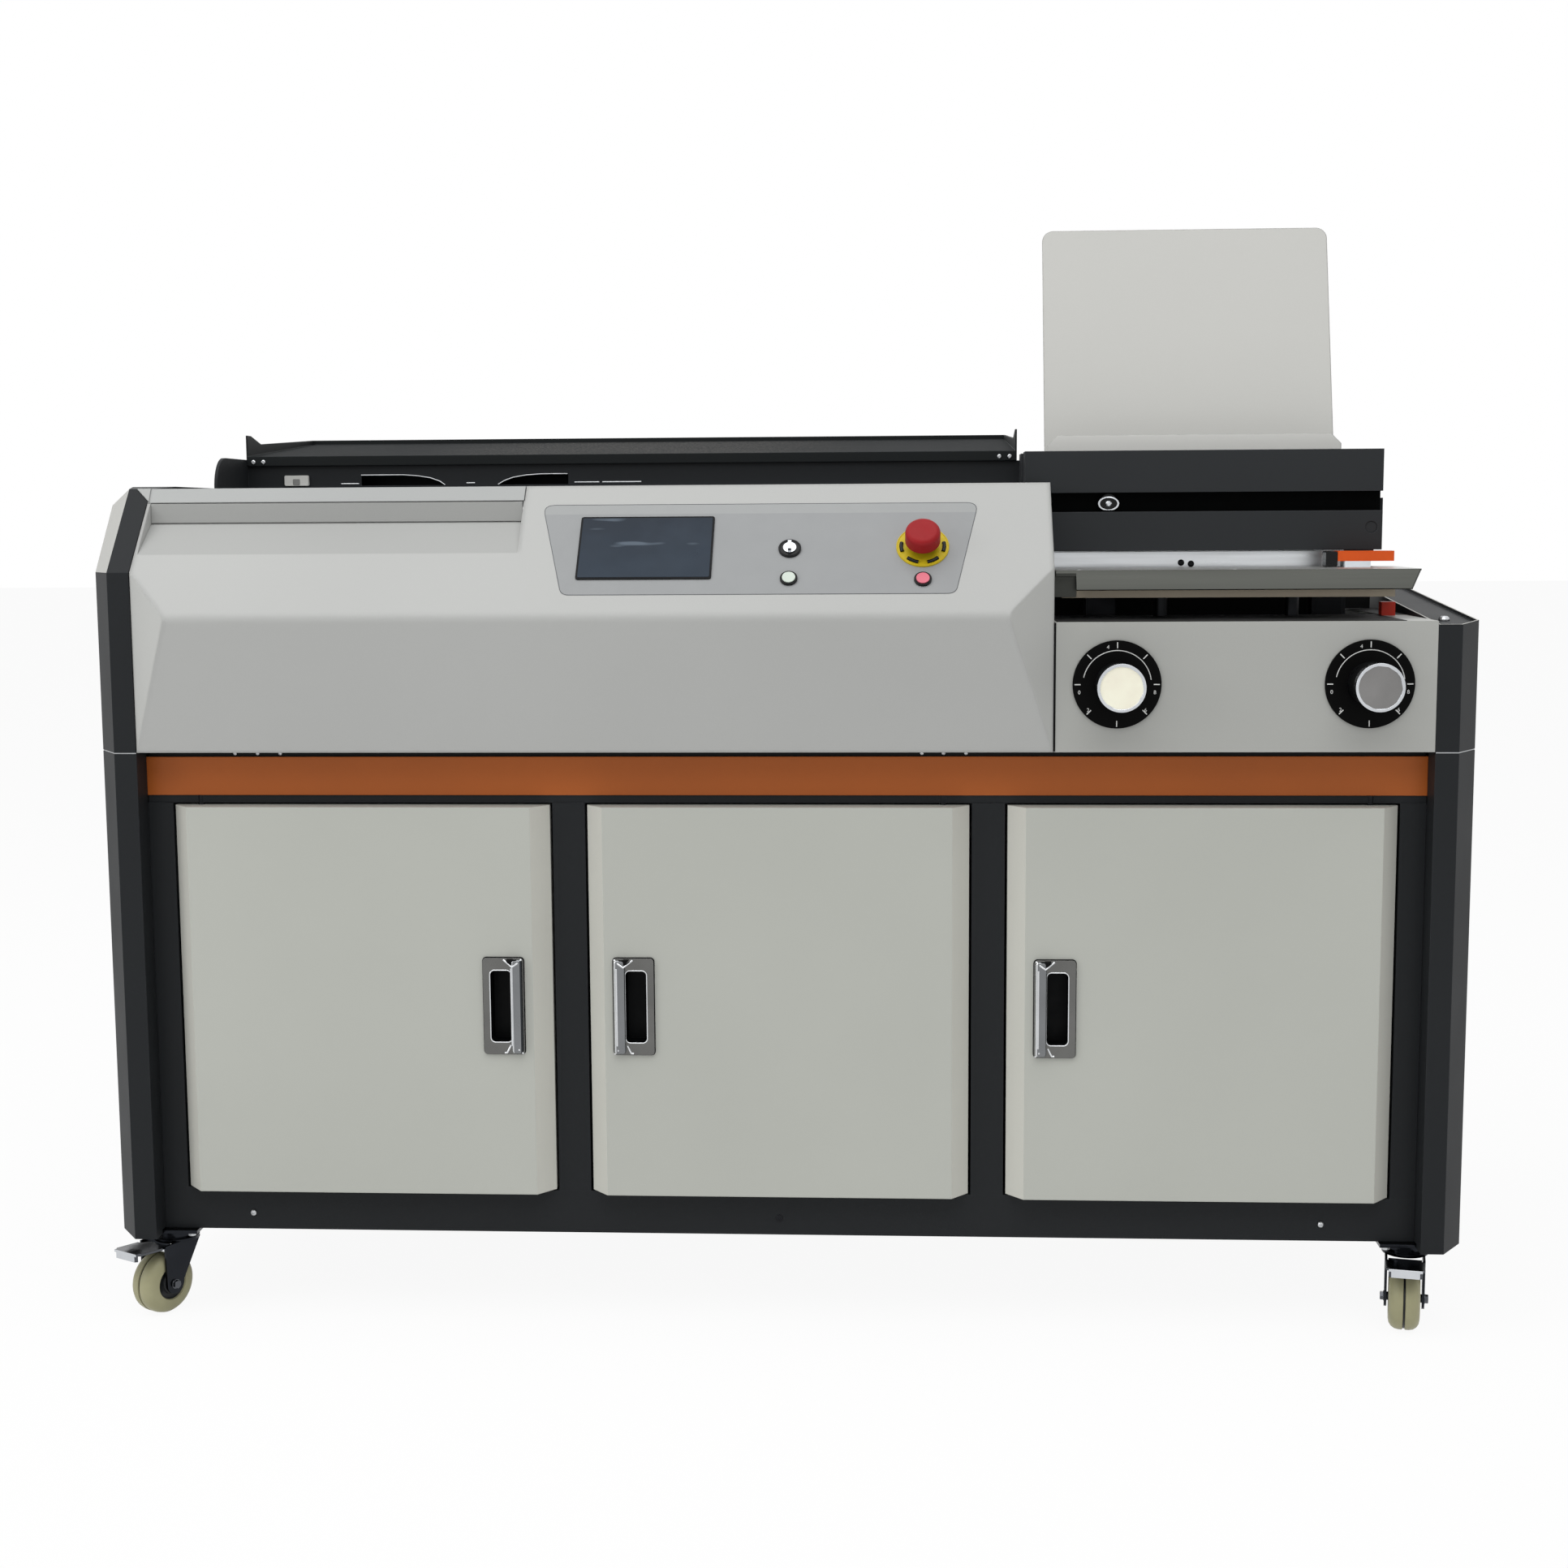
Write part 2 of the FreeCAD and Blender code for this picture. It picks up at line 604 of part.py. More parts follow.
def make_lower_casings():
    """Folded side casings with chamfered corners, wrapped round the frame from end to end."""
    outer = casing_plan(0.0)
    # the return stands on the frame side of the path so that it meets the end of the beams
    outer[0] = (-post_inner_x, frame_recess)
    outer[1] = (-post_inner_x, 0.0)
    outer[-2] = (-post_inner_x, body_depth)
    outer[-1] = (-post_inner_x, body_depth - frame_recess)
    inner = offset_path(outer, -sheet)
    left = prism_z(outer + inner[::-1], casing_bottom, upper_bottom - seam_gap)
    reach = plate_half + plate_clearance
    for depth in (front_caster_depth, rear_caster_depth):
        left = left.cut(block(-caster_x - reach, -caster_x + reach, depth - reach, depth + reach,
                              casing_bottom, frame_bottom + plate_clearance))
    save("lower_side_casings", left, mirrored(left))


def casing_block(inset):
    """Solid of the left upper casing with every outer side moved inwards by the inset."""
    x_out, x_face = -half_width + inset, -half_width + chamfer_width + inset / 2
    x_in = -post_inner_x + (inset and sheet)
    z0, z_top = upper_bottom - (inset and sheet), casing_crown_z - inset
    inner_side = [(inset, z0), (inset, slope_break_z - inset / 2),
                  (slope_top_depth + inset / 2, slope_top_z - inset), (casing_crown_depth, z_top)]
    outer_side = [(chamfer_depth + inset / 2, z0), (chamfer_depth + inset / 2, slope_break_z - inset / 2),
                  (outer_crown_depth + inset / 2, outer_crown_z - inset), (casing_crown_depth, z_top)]
    a = [Vector(x_face, y_at(d), z) for d, z in inner_side + [(casing_crown_depth, z0)]]
    b = [Vector(x_out, y_at(d), z) for d, z in outer_side + [(casing_crown_depth, z0)]]
    faces = [a[::-1], b]
    for i in range(len(a)):
        j = (i + 1) % len(a)
        faces.append([a[i], a[j], b[j]])
        faces.append([a[i], b[j], b[i]])
    nose = solid_of(faces)
    flat = prism_x(inner_side + [(casing_crown_depth, z0)], x_face, x_in)
    back = body_depth - inset
    rear = prism_z([(x_out, casing_crown_depth), (x_in, casing_crown_depth), (x_in, back), (x_face, back),
                    (x_out, back - chamfer_depth)], z0, z_top)
    return nose.fuse([flat, rear]).removeSplitter()


def make_left_upper_casing():
    """Upper end casing: sheet shell, open on the machine side and at the bottom."""
    save("left_upper_casing", casing_block(0.0).cut(casing_block(sheet)))


def under_right_top(outline, drop):
    """A plan outline filled up to the right casing's rising top, or to a plane parallel below it."""
    profile = [(0.0, upper_bottom), (0.0, right_post_top - drop),
               (body_depth, right_post_back_top - drop), (body_depth, upper_bottom)]
    return prism_z(outline, upper_bottom, right_post_back_top).common(
        prism_x(profile, post_inner_x, half_width))


def make_right_upper_casing():
    """Low right casing whose top climbs to the back, with a recessed top cap."""
    x_in, x_face, x_out = post_inner_x, half_width - chamfer_width, half_width
    outline = [(x_in, 0.0), (x_face, 0.0), (x_out, chamfer_depth), (x_out, body_depth - chamfer_depth),
               (x_face, body_depth), (x_in, body_depth)]
    inner = inset_outline(outline, sheet)
    cap = under_right_top(inner, post_cap_recess).cut(under_right_top(inner, post_cap_recess + sheet))
    wall = under_right_top(outline, 0.0).cut(under_right_top(inner, 0.0))
    save("right_upper_casing", wall.fuse(cap).removeSplitter())


def make_rear_panel():
    """Rear covers: a louvred lower panel and a stepped upper panel."""
    lower = block(-post_inner_x, post_inner_x, rear_plane, rear_plane + sheet, frame_bottom, bed_bottom)
    for middle_x in (-louvre_middle_x, 0.0, louvre_middle_x):
        for i in range(louvre_count):
            z = louvre_low_z + i * louvre_pitch
            lower = lower.cut(block(middle_x - louvre_width / 2, middle_x + louvre_width / 2,
                                    rear_plane, rear_plane + sheet, z, z + louvre_height))
    lower = lower.cut(block(inlet_x - inlet_width / 2, inlet_x + inlet_width / 2,
                            rear_plane, rear_plane + sheet,
                            inlet_z - inlet_height / 2, inlet_z + inlet_height / 2))
    upper = block(-post_inner_x, cowl_right_x, rear_plane - sheet, rear_plane, upper_bottom, slope_top_z)
    upper = upper.fuse(block(cowl_right_x, post_inner_x, rear_plane - sheet, rear_plane, upper_bottom,
                             panel_top_z - sheet))
    save("rear_panel", lower, upper.removeSplitter())


def make_bed_plate():
    """Thick steel bed that carries every unit above the cabinet."""
    bed = block(-post_inner_x + sheet, post_inner_x - sheet, frame_recess + strip_thickness, rear_plane,
                bed_bottom, upper_bottom)
    save("bed_plate", bed.cut(rod(duct_radius + touch_gap, bed_thickness, duct_x, cutter_depth, bed_bottom,
                                  upwards)))


def make_accent_strip():
    save("accent_strip", block(-post_inner_x, post_inner_x, frame_recess, frame_recess + strip_thickness,
                               strip_bottom, bed_bottom - touch_gap))


# ---------------------------------------------------------------- doors
def make_door(name, x0, x1, hinge_side):
    """A sheet pan with bevelled sides, open at the back, with pin bosses and a hole for the pull."""
    face_depth = frame_recess - door_proud
    z0, z1 = frame_top_of_beam + door_end_gap, door_bay_top - door_end_gap
    plan = [(x0, door_back_depth), (x0, frame_recess), (x0 + door_bevel, face_depth),
            (x1 - door_bevel, face_depth), (x1, frame_recess), (x1, door_back_depth)]
    door = prism_z(plan, z0, z1)
    inside = inset_outline([(x0, door_back_depth + 2 * door_sheet)] + plan[1:5]
                           + [(x1, door_back_depth + 2 * door_sheet)], door_sheet)
    door = door.cut(prism_z(inside, z0 + door_sheet, z1 - door_sheet))
    pin_x = (x0 if hinge_side < 0 else x1) - hinge_side * door_pin_inset
    for z in (z0, z1 - door_pin_bite):
        door = door.fuse(rod(door_boss_radius, door_pin_bite, pin_x, door_pin_depth, z, upwards))
    for z in (z0, z1 - door_pin_bite):
        door = door.cut(rod(door_pin_radius + running, door_pin_bite, pin_x, door_pin_depth, z, upwards))
    free_x = x1 if hinge_side < 0 else x0
    handle_x = free_x + hinge_side * handle_edge_distance
    hole = rounded_plate(cup_width + 2 * touch_gap, cup_height + 2 * touch_gap, 2 * door_sheet,
                         cup_corner + touch_gap)
    cup_x = handle_x + hinge_side * cup_offset
    door = door.cut(on_front(hole, cup_x, handle_middle_z, face_depth + 2 * door_sheet))
    save(name + "_door", door.removeSplitter())
    make_handle(name, handle_x, face_depth, -hinge_side)


def make_handle(name, x, face_depth, free_side):
    """A cast pull: flat bezel, sunk cup and a raised round lip beside the door's free edge."""
    bezel = rounded_plate(handle_width, handle_height, handle_proud, handle_corner)
    lip = rounded_plate(lip_width, handle_height - 2 * lip_inset, lip_proud + handle_proud, lip_corner)
    lip_x = free_side * (handle_width / 2 - lip_width / 2 - lip_inset)
    lip.translate(Vector(lip_x, 0, 0))
    top_edges = [e for e in lip.Edges if min(v.Z for v in e.Vertexes) > handle_proud]
    lip = lip.makeFillet(lip_round, top_edges)
    cup = rounded_plate(cup_width, cup_height, cup_depth, cup_corner)
    cup.translate(Vector(-free_side * cup_offset, 0, -cup_depth))
    hollow = rounded_plate(cup_width - 2 * cup_wall, cup_height - 2 * cup_wall,
                           cup_depth + handle_proud + lip_proud, cup_corner - cup_wall)
    hollow.translate(Vector(-free_side * cup_offset, 0, cup_wall - cup_depth))
    pull = bezel.fuse([lip, cup]).cut(hollow)
    save(name + "_door_handle", on_front(pull, x, handle_middle_z, face_depth))


def make_doors():
    for name, (x0, x1, side) in door_bays.items():
        make_door(name, x0, x1, side)
    pins = []
    for x in door_pin_xs:
        for z in (frame_top_of_beam - door_pin_bite, door_bay_top - door_end_gap - door_pin_bite):
            length = 2 * door_pin_bite + door_end_gap
            pins.append(rod(door_pin_radius, length, x, door_pin_depth, z, upwards))
    save("door_hinge_pins", *pins)


# ---------------------------------------------------------------- cowl and lid
def cowl_solid(inset):
    """The cowl's outer form, or its inside when an inset is given: a ridge with facets at its ends."""
    back = cowl_back_depth + (inset and cowl_back_depth)
    end = [(0.0, upper_bottom), (0.0, slope_break_z), (slope_top_depth, slope_top_z),
           (back, slope_top_z), (back, upper_bottom)]
    middle = [(0.0, upper_bottom), (-ridge_reach, ridge_z)] + end[2:]
    if inset:
        end, middle = inset_outline(end, -inset), inset_outline(middle, -inset)
    x0, x1 = cowl_left_x + inset, cowl_right_x - inset
    low, high = end[0], end[1]
    left = [Vector(x0, y_at(d), z) for d, z in (low, high)]
    right = [Vector(x1, y_at(d), z) for d, z in (low, high)]
    ridge = [Vector(x, y_at(middle[1][0]), middle[1][1])
             for x in (x0 + ridge_end_inset, x1 - ridge_end_inset)]
    nose = solid_of([[left[1], ridge[0], ridge[1], right[1]], [left[0], right[0], ridge[1], ridge[0]],
                     [left[0], ridge[0], left[1]], [right[0], right[1], ridge[1]],
                     [left[0], left[1], right[1], right[0]]])
    body = prism_x(end, x0, x1).fuse(nose).removeSplitter()
    along_ridge = [e for e in body.Edges
                   if all(v.Y < y_at(0) - ridge_reach / 2 for v in e.Vertexes) and e.Length > ridge_reach]
    return body.makeFillet(ridge_round - inset, along_ridge)


def slope_block(x0, x1, outline):
    """Extrudes an outline of (s, height) points along X in the slope's own frame."""
    foot = Vector(x0, y_at(0), slope_break_z)
    points = [foot + up_slope * s + out_of_slope * n for s, n in outline]
    return Part.Face(Part.makePolygon(points + points[:1])).extrude(Vector(x1 - x0, 0, 0))


def finger_recess(grow):
    """The finger scoop under the lid's lip, or the same grown by a wall."""
    margin = recess_end_inset - grow
    end_s = lid_lip_s + recess_run_in
    end_depth = recess_deep * (end_s - recess_low_s) / (lid_lip_s - recess_low_s)
    low_s = recess_low_s - 3 * grow
    return slope_block(cowl_left_x + margin, lid_right_x + grow,
                       [(low_s, grow), (low_s, 0), (recess_low_s, -grow),
                        (end_s, -end_depth - grow), (end_s, grow)])


def slope_slab(x0, x1, s0, s1):
    """A slab that reaches well through the slope between two distances s."""
    return slope_block(x0, x1, [(s0, slab_reach), (s0, -slab_reach), (s1, -slab_reach), (s1, slab_reach)])


def make_cowl():
    """Pressed front cowl with a finger scoop, the lid's opening and holes for the controls."""
    outer = cowl_solid(0.0).cut(finger_recess(0.0).common(slope_slab(cowl_left_x, lid_right_x, 0, lid_lip_s)))
    inner = cowl_solid(sheet).cut(finger_recess(sheet))
    cowl = outer.cut(inner)
    cowl = cowl.cut(block(cowl_left_x + sheet, cowl_right_x - sheet, cowl_foot, cowl_back_depth,
                          upper_bottom, upper_bottom + sheet))
    room_right_x = lid_right_x + lid_gap
    lid_room = slope_slab(cowl_left_x, room_right_x, lid_lip_s, slope_length + cowl_back_depth)
    above_break = block(cowl_left_x, room_right_x, 0, cowl_back_depth, slope_break_z, slope_top_z)
    top_room = block(cowl_left_x, room_right_x, slope_top_depth - lid_front_room, cowl_back_depth,
                     slope_top_z - 3 * sheet, slope_top_z)
    shelf_top = lid_hinge_z - lid_hinge_radius - touch_gap
    barrel_room = block(cowl_left_x, room_right_x, lid_hinge_depth - lid_hinge_radius - touch_gap,
                        cowl_back_depth, shelf_top, slope_top_z)
    cowl = cowl.cut(lid_room.common(above_break)).cut(top_room).cut(barrel_room)
    shelf = block(cowl_left_x, room_right_x + sheet, cowl_back_depth - lid_shelf_depth, cowl_back_depth,
                  shelf_top - lid_shelf_height, shelf_top)
    web = block(room_right_x, room_right_x + sheet, slope_top_depth, cowl_back_depth,
                shelf_top - lid_shelf_height, slope_top_z)
    cowl = cowl.fuse([shelf, web]).removeSplitter()
    width, height = screen_width - 2 * screen_hole_margin, screen_height - 2 * screen_hole_margin
    hole = Part.makeBox(width, height, panel_punch, Vector(-width / 2, -height / 2, -panel_punch / 2))
    cowl = cowl.cut(on_slope(hole, screen_x, screen_s))
    for x, s in ((key_x, key_s), (key_x, start_s), (estop_x, estop_s), (estop_x, stop_s)):
        punch = Part.makeCylinder(button_radius + touch_gap, panel_punch, Vector(0, 0, -panel_punch / 2))
        cowl = cowl.cut(on_slope(punch, x, s))
    save("front_cowl", cowl)


def make_lid():
    """Hinged lid over the glue bay: lip, top and a return under the lip, hinge barrel at the back."""
    lip_low = (up_slope.y * (lid_lip_s + lid_gap), slope_break_z + up_slope.z * (lid_lip_s + lid_gap))
    path = [lip_low, (slope_top_depth, slope_top_z), (lid_hinge_depth, slope_top_z)]
    lid = prism_x(folded(path, -sheet), cowl_left_x, lid_right_x)
    lip = slope_block(cowl_left_x, lid_right_x, [(lid_lip_s + lid_gap, 0), (lid_lip_s + lid_gap, -lid_return),
                                                 (lid_lip_s + lid_gap + sheet, -lid_return),
                                                 (lid_lip_s + lid_gap + sheet, 0)])
    barrel = rod(lid_hinge_radius, lid_right_x - cowl_left_x, cowl_left_x, lid_hinge_depth, lid_hinge_z,
                 along_x)
    save("glue_bay_lid", lid.fuse([lip, barrel]).removeSplitter())


# ---------------------------------------------------------------- controls
def ring_on_slope(x, s, outer, inner, height):
    ring = Part.makeCylinder(outer, height).cut(Part.makeCylinder(inner, height))
    return on_slope(ring, x, s)


def plunger(radius, head_height):
    """A switch plunger: its head above the panel and its stem behind it."""
    return Part.makeCylinder(radius, head_height + switch_body_depth, Vector(0, 0, -switch_body_depth))


def make_controls():
    face = rounded_plate(screen_width, screen_height, screen_proud, screen_corner)
    width = screen_width - 2 * screen_hole_margin - touch_gap
    height = screen_height - 2 * screen_hole_margin - touch_gap
    back = Part.makeBox(width, height, screen_body_depth, Vector(-width / 2, -height / 2, -screen_body_depth))
    save("touch_screen", on_slope(face.fuse(back), screen_x, screen_s))

    inner = button_radius + running
    save("switch_bezels",
         ring_on_slope(key_x, key_s, key_ring_radius, inner, ring_height),
         ring_on_slope(key_x, start_s, button_ring_radius, inner, ring_height),
         ring_on_slope(estop_x, stop_s, button_ring_radius, inner, ring_height),
         ring_on_slope(estop_x, estop_s, estop_disc_radius, inner, estop_disc_height))

    key = plunger(button_radius, button_height)
    grip_half = button_radius - key_grip_end_gap
    grip = Part.makeBox(key_grip_width, 2 * grip_half, key_grip_height,
                        Vector(-key_grip_width / 2, -grip_half, button_height))
    save("key_switch", on_slope(key.fuse(grip), key_x, key_s))
    save("start_button", on_slope(plunger(button_radius, button_height), key_x, start_s))
    save("stop_button", on_slope(plunger(button_radius, button_height), estop_x, stop_s))

    stem = plunger(button_radius, estop_stand)
    neck = Part.makeCylinder(estop_neck_radius, estop_stand - estop_neck_gap, Vector(0, 0, estop_neck_gap))
    head = Part.makeCylinder(estop_head_radius, estop_head_height, Vector(0, 0, estop_stand))
    rim = [e for e in head.Edges if e.BoundBox.ZMin > estop_stand + estop_head_height / 2]
    save("estop_head", on_slope(stem.fuse([neck, head.makeFillet(estop_round, rim)]), estop_x, estop_s))


# ---------------------------------------------------------------- right panel, knobs and nipping unit
def make_right_panel():
    """Front panel folded back into the deck, with the table's well and the shaft and post holes."""
    path = [(0.0, upper_bottom + seam_gap), (0.0, panel_top_z), (deck_side_depth, panel_top_z)]
    panel = prism_x(folded(path, -sheet), panel_left_x, panel_right_x)
    panel = panel.cut(block(panel_left_x, panel_right_x - deck_side_width, deck_depth, deck_side_depth,
                            panel_top_z - 2 * sheet, panel_top_z))
    for x in (knob_left_x, knob_right_x):
        panel = panel.cut(rod(screw_radius + through_gap, 2 * sheet, x, 0, knob_z, along_y))
    for x in table_post_x:
        panel = panel.cut(rod(table_post_radius + through_gap, 3 * sheet, x, table_post_depth,
                              panel_top_z - 2 * sheet, upwards))
    foot = block(panel_left_x, panel_right_x, 0, cowl_foot, upper_bottom, upper_bottom + seam_gap)
    save("right_front_panel", panel.fuse(foot).removeSplitter())

    dials = [rod(dial_radius, dial_thickness, x, -dial_thickness, knob_z, along_y).cut(
        rod(screw_radius + through_gap, dial_thickness, x, -dial_thickness, knob_z, along_y))
        for x in (knob_left_x, knob_right_x)]
    save("dial_plates", *dials)


def make_knob(name, x):
    """Knob with its metal cap and the adjusting screw that reaches the back bearing."""
    body_front = -knob_reach + knob_cap_length
    body = rod(knob_radius, -dial_thickness - touch_gap - body_front, x, body_front, knob_z, along_y)
    shaft = rod(screw_radius, screw_end_depth - body_front, x, body_front, knob_z, along_y)
    cap = rod(knob_cap_radius, knob_cap_length, x, -knob_reach, knob_z, along_y)
    dish = rod(knob_cap_radius - knob_cap_rim, knob_cap_dish, x, -knob_reach, knob_z, along_y)
    cap = cap.cut(dish)
    save("adjust_knob_" + name, body.fuse(shaft).removeSplitter(), cap)


def make_nipping_unit():
    """Two nipping jaws, each carried and moved by one adjusting screw, and the screws' bearings."""
    for name, screw_x, depth, thickness, right_x in (
            ("nip_jaw_front", knob_left_x, nip_front_depth, nip_front_thickness, nip_front_right_x),
            ("nip_jaw_rear", knob_right_x, nip_rear_depth, nip_rear_thickness, nip_rear_right_x)):
        jaw = block(nip_left_x, right_x, depth, depth + thickness, nip_bottom_z, nip_top_z)
        arm = block(screw_x - bearing_half, screw_x + bearing_half, depth, depth + thickness,
                    knob_z - bearing_half, nip_bottom_z)
        bore = rod(screw_radius + running, thickness, screw_x, depth, knob_z, along_y)
        save(name, jaw.fuse(arm).cut(bore).removeSplitter())
    posts = []
    for x in (knob_left_x, knob_right_x):
        for depth in (front_bearing_depth, screw_end_depth - bearing_length):
            post = block(x - bearing_half, x + bearing_half, depth, depth + bearing_length, upper_bottom,
                         knob_z + bearing_half)
            posts.append(post.cut(rod(screw_radius + running, bearing_length, x, depth, knob_z,
                                      along_y)))
    foot_cut = block(panel_left_x, panel_right_x, 0, cowl_foot + touch_gap, upper_bottom,
                     upper_bottom + seam_gap)
    posts = [post.cut(foot_cut) for post in posts]
    end_x = girder_right_x - screw_block_width
    end = block(end_x, girder_right_x, travel_screw_depth - screw_block_half, girder_front_depth,
                travel_screw_z - screw_block_rise, travel_screw_z + screw_block_rise)
    end = end.cut(rod(travel_screw_radius + running, screw_block_width, end_x, travel_screw_depth,
                      travel_screw_z, along_x))
    save("screw_bearings", *posts, end)


# ---------------------------------------------------------------- cover table
def make_cover_table():
    """Stainless cover table with a bent front lip, its beam with post bushes, and the posts."""
    path = [(table_lip_depth, table_lip_z), (table_front_depth, table_top_z), (table_back_depth, table_top_z)]
    top = prism_x(folded(path, -sheet), table_left_x, table_right_x)
    top = top.cut(block(table_left_x, table_lip_left_x, table_lip_depth - sheet, table_front_depth - sheet,
                        table_lip_z - sheet, table_top_z - sheet))
    corner = prism_z([(table_right_x, table_lip_depth - sheet), (table_right_x, table_front_depth + sheet),
                      (table_right_x - table_corner, table_lip_depth - sheet)],
                     table_lip_z - sheet, table_top_z + sheet)
    top = top.cut(corner)
    beam = block(nip_left_x, table_beam_right_x, table_beam_front, table_beam_back,
                 table_beam_bottom, table_top_z - sheet)
    for x in table_post_x:
        beam = beam.fuse(block(x - table_boss_half, x + table_boss_half, table_beam_back,
                               table_post_depth + table_boss_half, table_beam_bottom, table_top_z - sheet))
    for x in table_post_x:
        beam = beam.cut(rod(table_post_radius + running, table_top_z - sheet - table_beam_bottom, x,
                            table_post_depth, table_beam_bottom, upwards))
    save("cover_table", top, beam.removeSplitter())
    posts = [rod(table_post_radius, table_post_top - upper_bottom, x, table_post_depth, upper_bottom,
                 upwards) for x in table_post_x]
    stop = block(deck_stop_x, deck_stop_x + deck_stop_width,
                 table_post_depth, table_post_depth + deck_stop_width,
                 panel_top_z, panel_top_z + deck_stop_height)
    save("table_posts", *posts, stop)
    base_left, lever_bottom = lay_left_x + lay_base_left, table_top_z + lay_base_height
    base = block(base_left, base_left + lay_base_width, lay_front_depth, lay_back_depth,
                 table_top_z, lever_bottom)
    lever = block(lay_left_x, lay_right_x, lay_front_depth + lay_lever_inset,
                  lay_back_depth - lay_lever_inset, lever_bottom, lever_bottom + lay_height)
    save("lay_clamp", base, lever)


# ---------------------------------------------------------------- carriage
def make_carriage():
    """Book clamp: a fixed rear jaw that rides on the rails, a front jaw on rods, and the book guides."""
    front = block(clamp_left_x, clamp_right_x, clamp_front_depth, slot_front, clamp_bottom_z, clamp_top_z)
    front = front.cut(block(clamp_left_x, clamp_right_x, clamp_front_depth, clamp_front_depth + groove_deep,
                            groove_bottom_z, groove_top_z))
    rod_xs = (clamp_left_x + guide_rod_inset, clamp_right_x - guide_rod_inset)
    for x in rod_xs:
        front = front.cut(rod(guide_rod_radius + running, front_jaw_thickness, x, clamp_front_depth,
                              guide_rod_z, along_y))
    bolt_z = (groove_bottom_z + groove_top_z) / 2
    bolt = rod(clamp_bolt_radius, groove_deep - clamp_bolt_recess, clamp_bolt_x,
               clamp_front_depth + clamp_bolt_recess, bolt_z, along_y)
    save("clamp_front_jaw", front, bolt)

    plate_top = clamp_top_z + guide_plate_rise
    plate = block(board_left_x, guide_plate_right_x, slot_front - board_thickness, slot_front,
                  clamp_top_z, plate_top)
    for x, side in ((board_left_x, 1), (guide_plate_right_x, -1)):
        corner = [(x, plate_top - guide_plate_corner), (x, plate_top),
                  (x + side * guide_plate_corner, plate_top)]
        plate = plate.cut(prism_y(corner, slot_front - board_thickness, slot_front))
    save("front_guide_plate", plate)

    rear = block(clamp_left_x, clamp_right_x, slot_back, slot_back + rear_jaw_thickness,
                 clamp_bottom_z, clamp_top_z)
    for z in rail_z:
        rear = rear.cut(block(clamp_left_x, clamp_right_x, girder_front_depth - rail_thickness - rail_play,
                              girder_front_depth, z - rail_play, z + rail_height + rail_play))
    rear = rear.cut(rod(travel_screw_radius + running, clamp_right_x - clamp_left_x, clamp_left_x,
                        travel_screw_depth, travel_screw_z, along_x))
    for x in rod_xs:
        rear = rear.cut(rod(guide_rod_radius, rear_jaw_thickness / 2, x, slot_back, guide_rod_z, along_y))
    save("clamp_rear_jaw", rear)
    rod_front = clamp_front_depth + guide_rod_recess
    rods = [rod(guide_rod_radius, slot_back + rear_jaw_thickness / 2 - rod_front, x, rod_front, guide_rod_z,
                along_y) for x in rod_xs]
    save("guide_rods", *rods)

    lean = math.radians(board_lean)
    foot = (slot_back + board_thickness, clamp_top_z)
    top = (foot[0] + board_length * math.sin(lean), foot[1] + board_length * math.cos(lean))
    board = prism_x(folded([top, foot, (foot[0] + board_flange, foot[1])], board_thickness),
                    board_left_x, board_right_x)
    corners = [e for e in board.Edges if min(v.Z for v in e.Vertexes) > top[1] - 2 * board_thickness
               and e.Length < 2 * board_thickness]
    save("book_board", board.makeFillet(board_corner, corners))


# ---------------------------------------------------------------- girder, rails, screw and tray
def make_girder():
    """Dark box girder on two feet with its left end plate; it carries the rails and the tray."""
    beam = block(girder_left_x, girder_right_x, girder_front_depth, girder_back_depth,
                 girder_bottom_z, girder_top_z)
    beam = beam.cut(block(girder_left_x, girder_right_x, girder_front_depth + girder_wall,
                          girder_back_depth - girder_wall, girder_bottom_z + girder_wall,
                          girder_top_z - girder_wall))
    for left, right, side in cutouts:
        x0, x1 = girder_left_x + left, girder_left_x + right
        high, low = (x0, x1) if side > 0 else (x1, x0)
        middle = (high + low) / 2
        beam = beam.cut(prism_y([(low, cutout_bottom_z), (high, cutout_bottom_z), (high, cutout_top_z),
                                 (middle, cutout_top_z),
                                 (low - side * cutout_step, cutout_bottom_z + cutout_step_height)],
                                girder_front_depth, girder_front_depth + girder_wall))
    feet = [block(x, x + support_width, girder_front_depth + girder_wall, girder_back_depth - girder_wall,
                  upper_bottom, girder_bottom_z)
            for x in (girder_left_x, girder_right_x - support_width - deck_side_width)]
    x0, x1 = girder_left_x - end_plate_thickness, girder_left_x
    plate = block(x0, x1, end_plate_front_depth, girder_back_depth, upper_bottom, end_plate_top_z)
    corner = [e for e in plate.Edges if e.Length < 2 * end_plate_thickness
              and e.BoundBox.YMax < y_at(end_plate_front_depth) + 1 and e.BoundBox.ZMin > end_plate_top_z - 1]
    plate = plate.makeFillet(end_plate_round, corner)
    plate = plate.cut(rod(travel_screw_radius + running, end_plate_thickness, x0, travel_screw_depth,
                          travel_screw_z, along_x))
    save("rail_girder", beam.removeSplitter(), *feet, plate)

    rails = [block(girder_left_x, girder_right_x, girder_front_depth - rail_thickness, girder_front_depth,
                   z, z + rail_height) for z in rail_z]
    save("linear_rails", *rails)

    motor_length = girder_left_x - end_plate_thickness + post_inner_x - sheet - motor_end_gap
    screw_left_x = x0 + screw_end_recess
    save("travel_screw", rod(travel_screw_radius, girder_right_x - screw_left_x, screw_left_x,
                             travel_screw_depth, travel_screw_z, along_x))
    motor = rod(motor_radius, motor_length, x0 - motor_length, travel_screw_depth, travel_screw_z,
                along_x)
    save("travel_motor", motor)


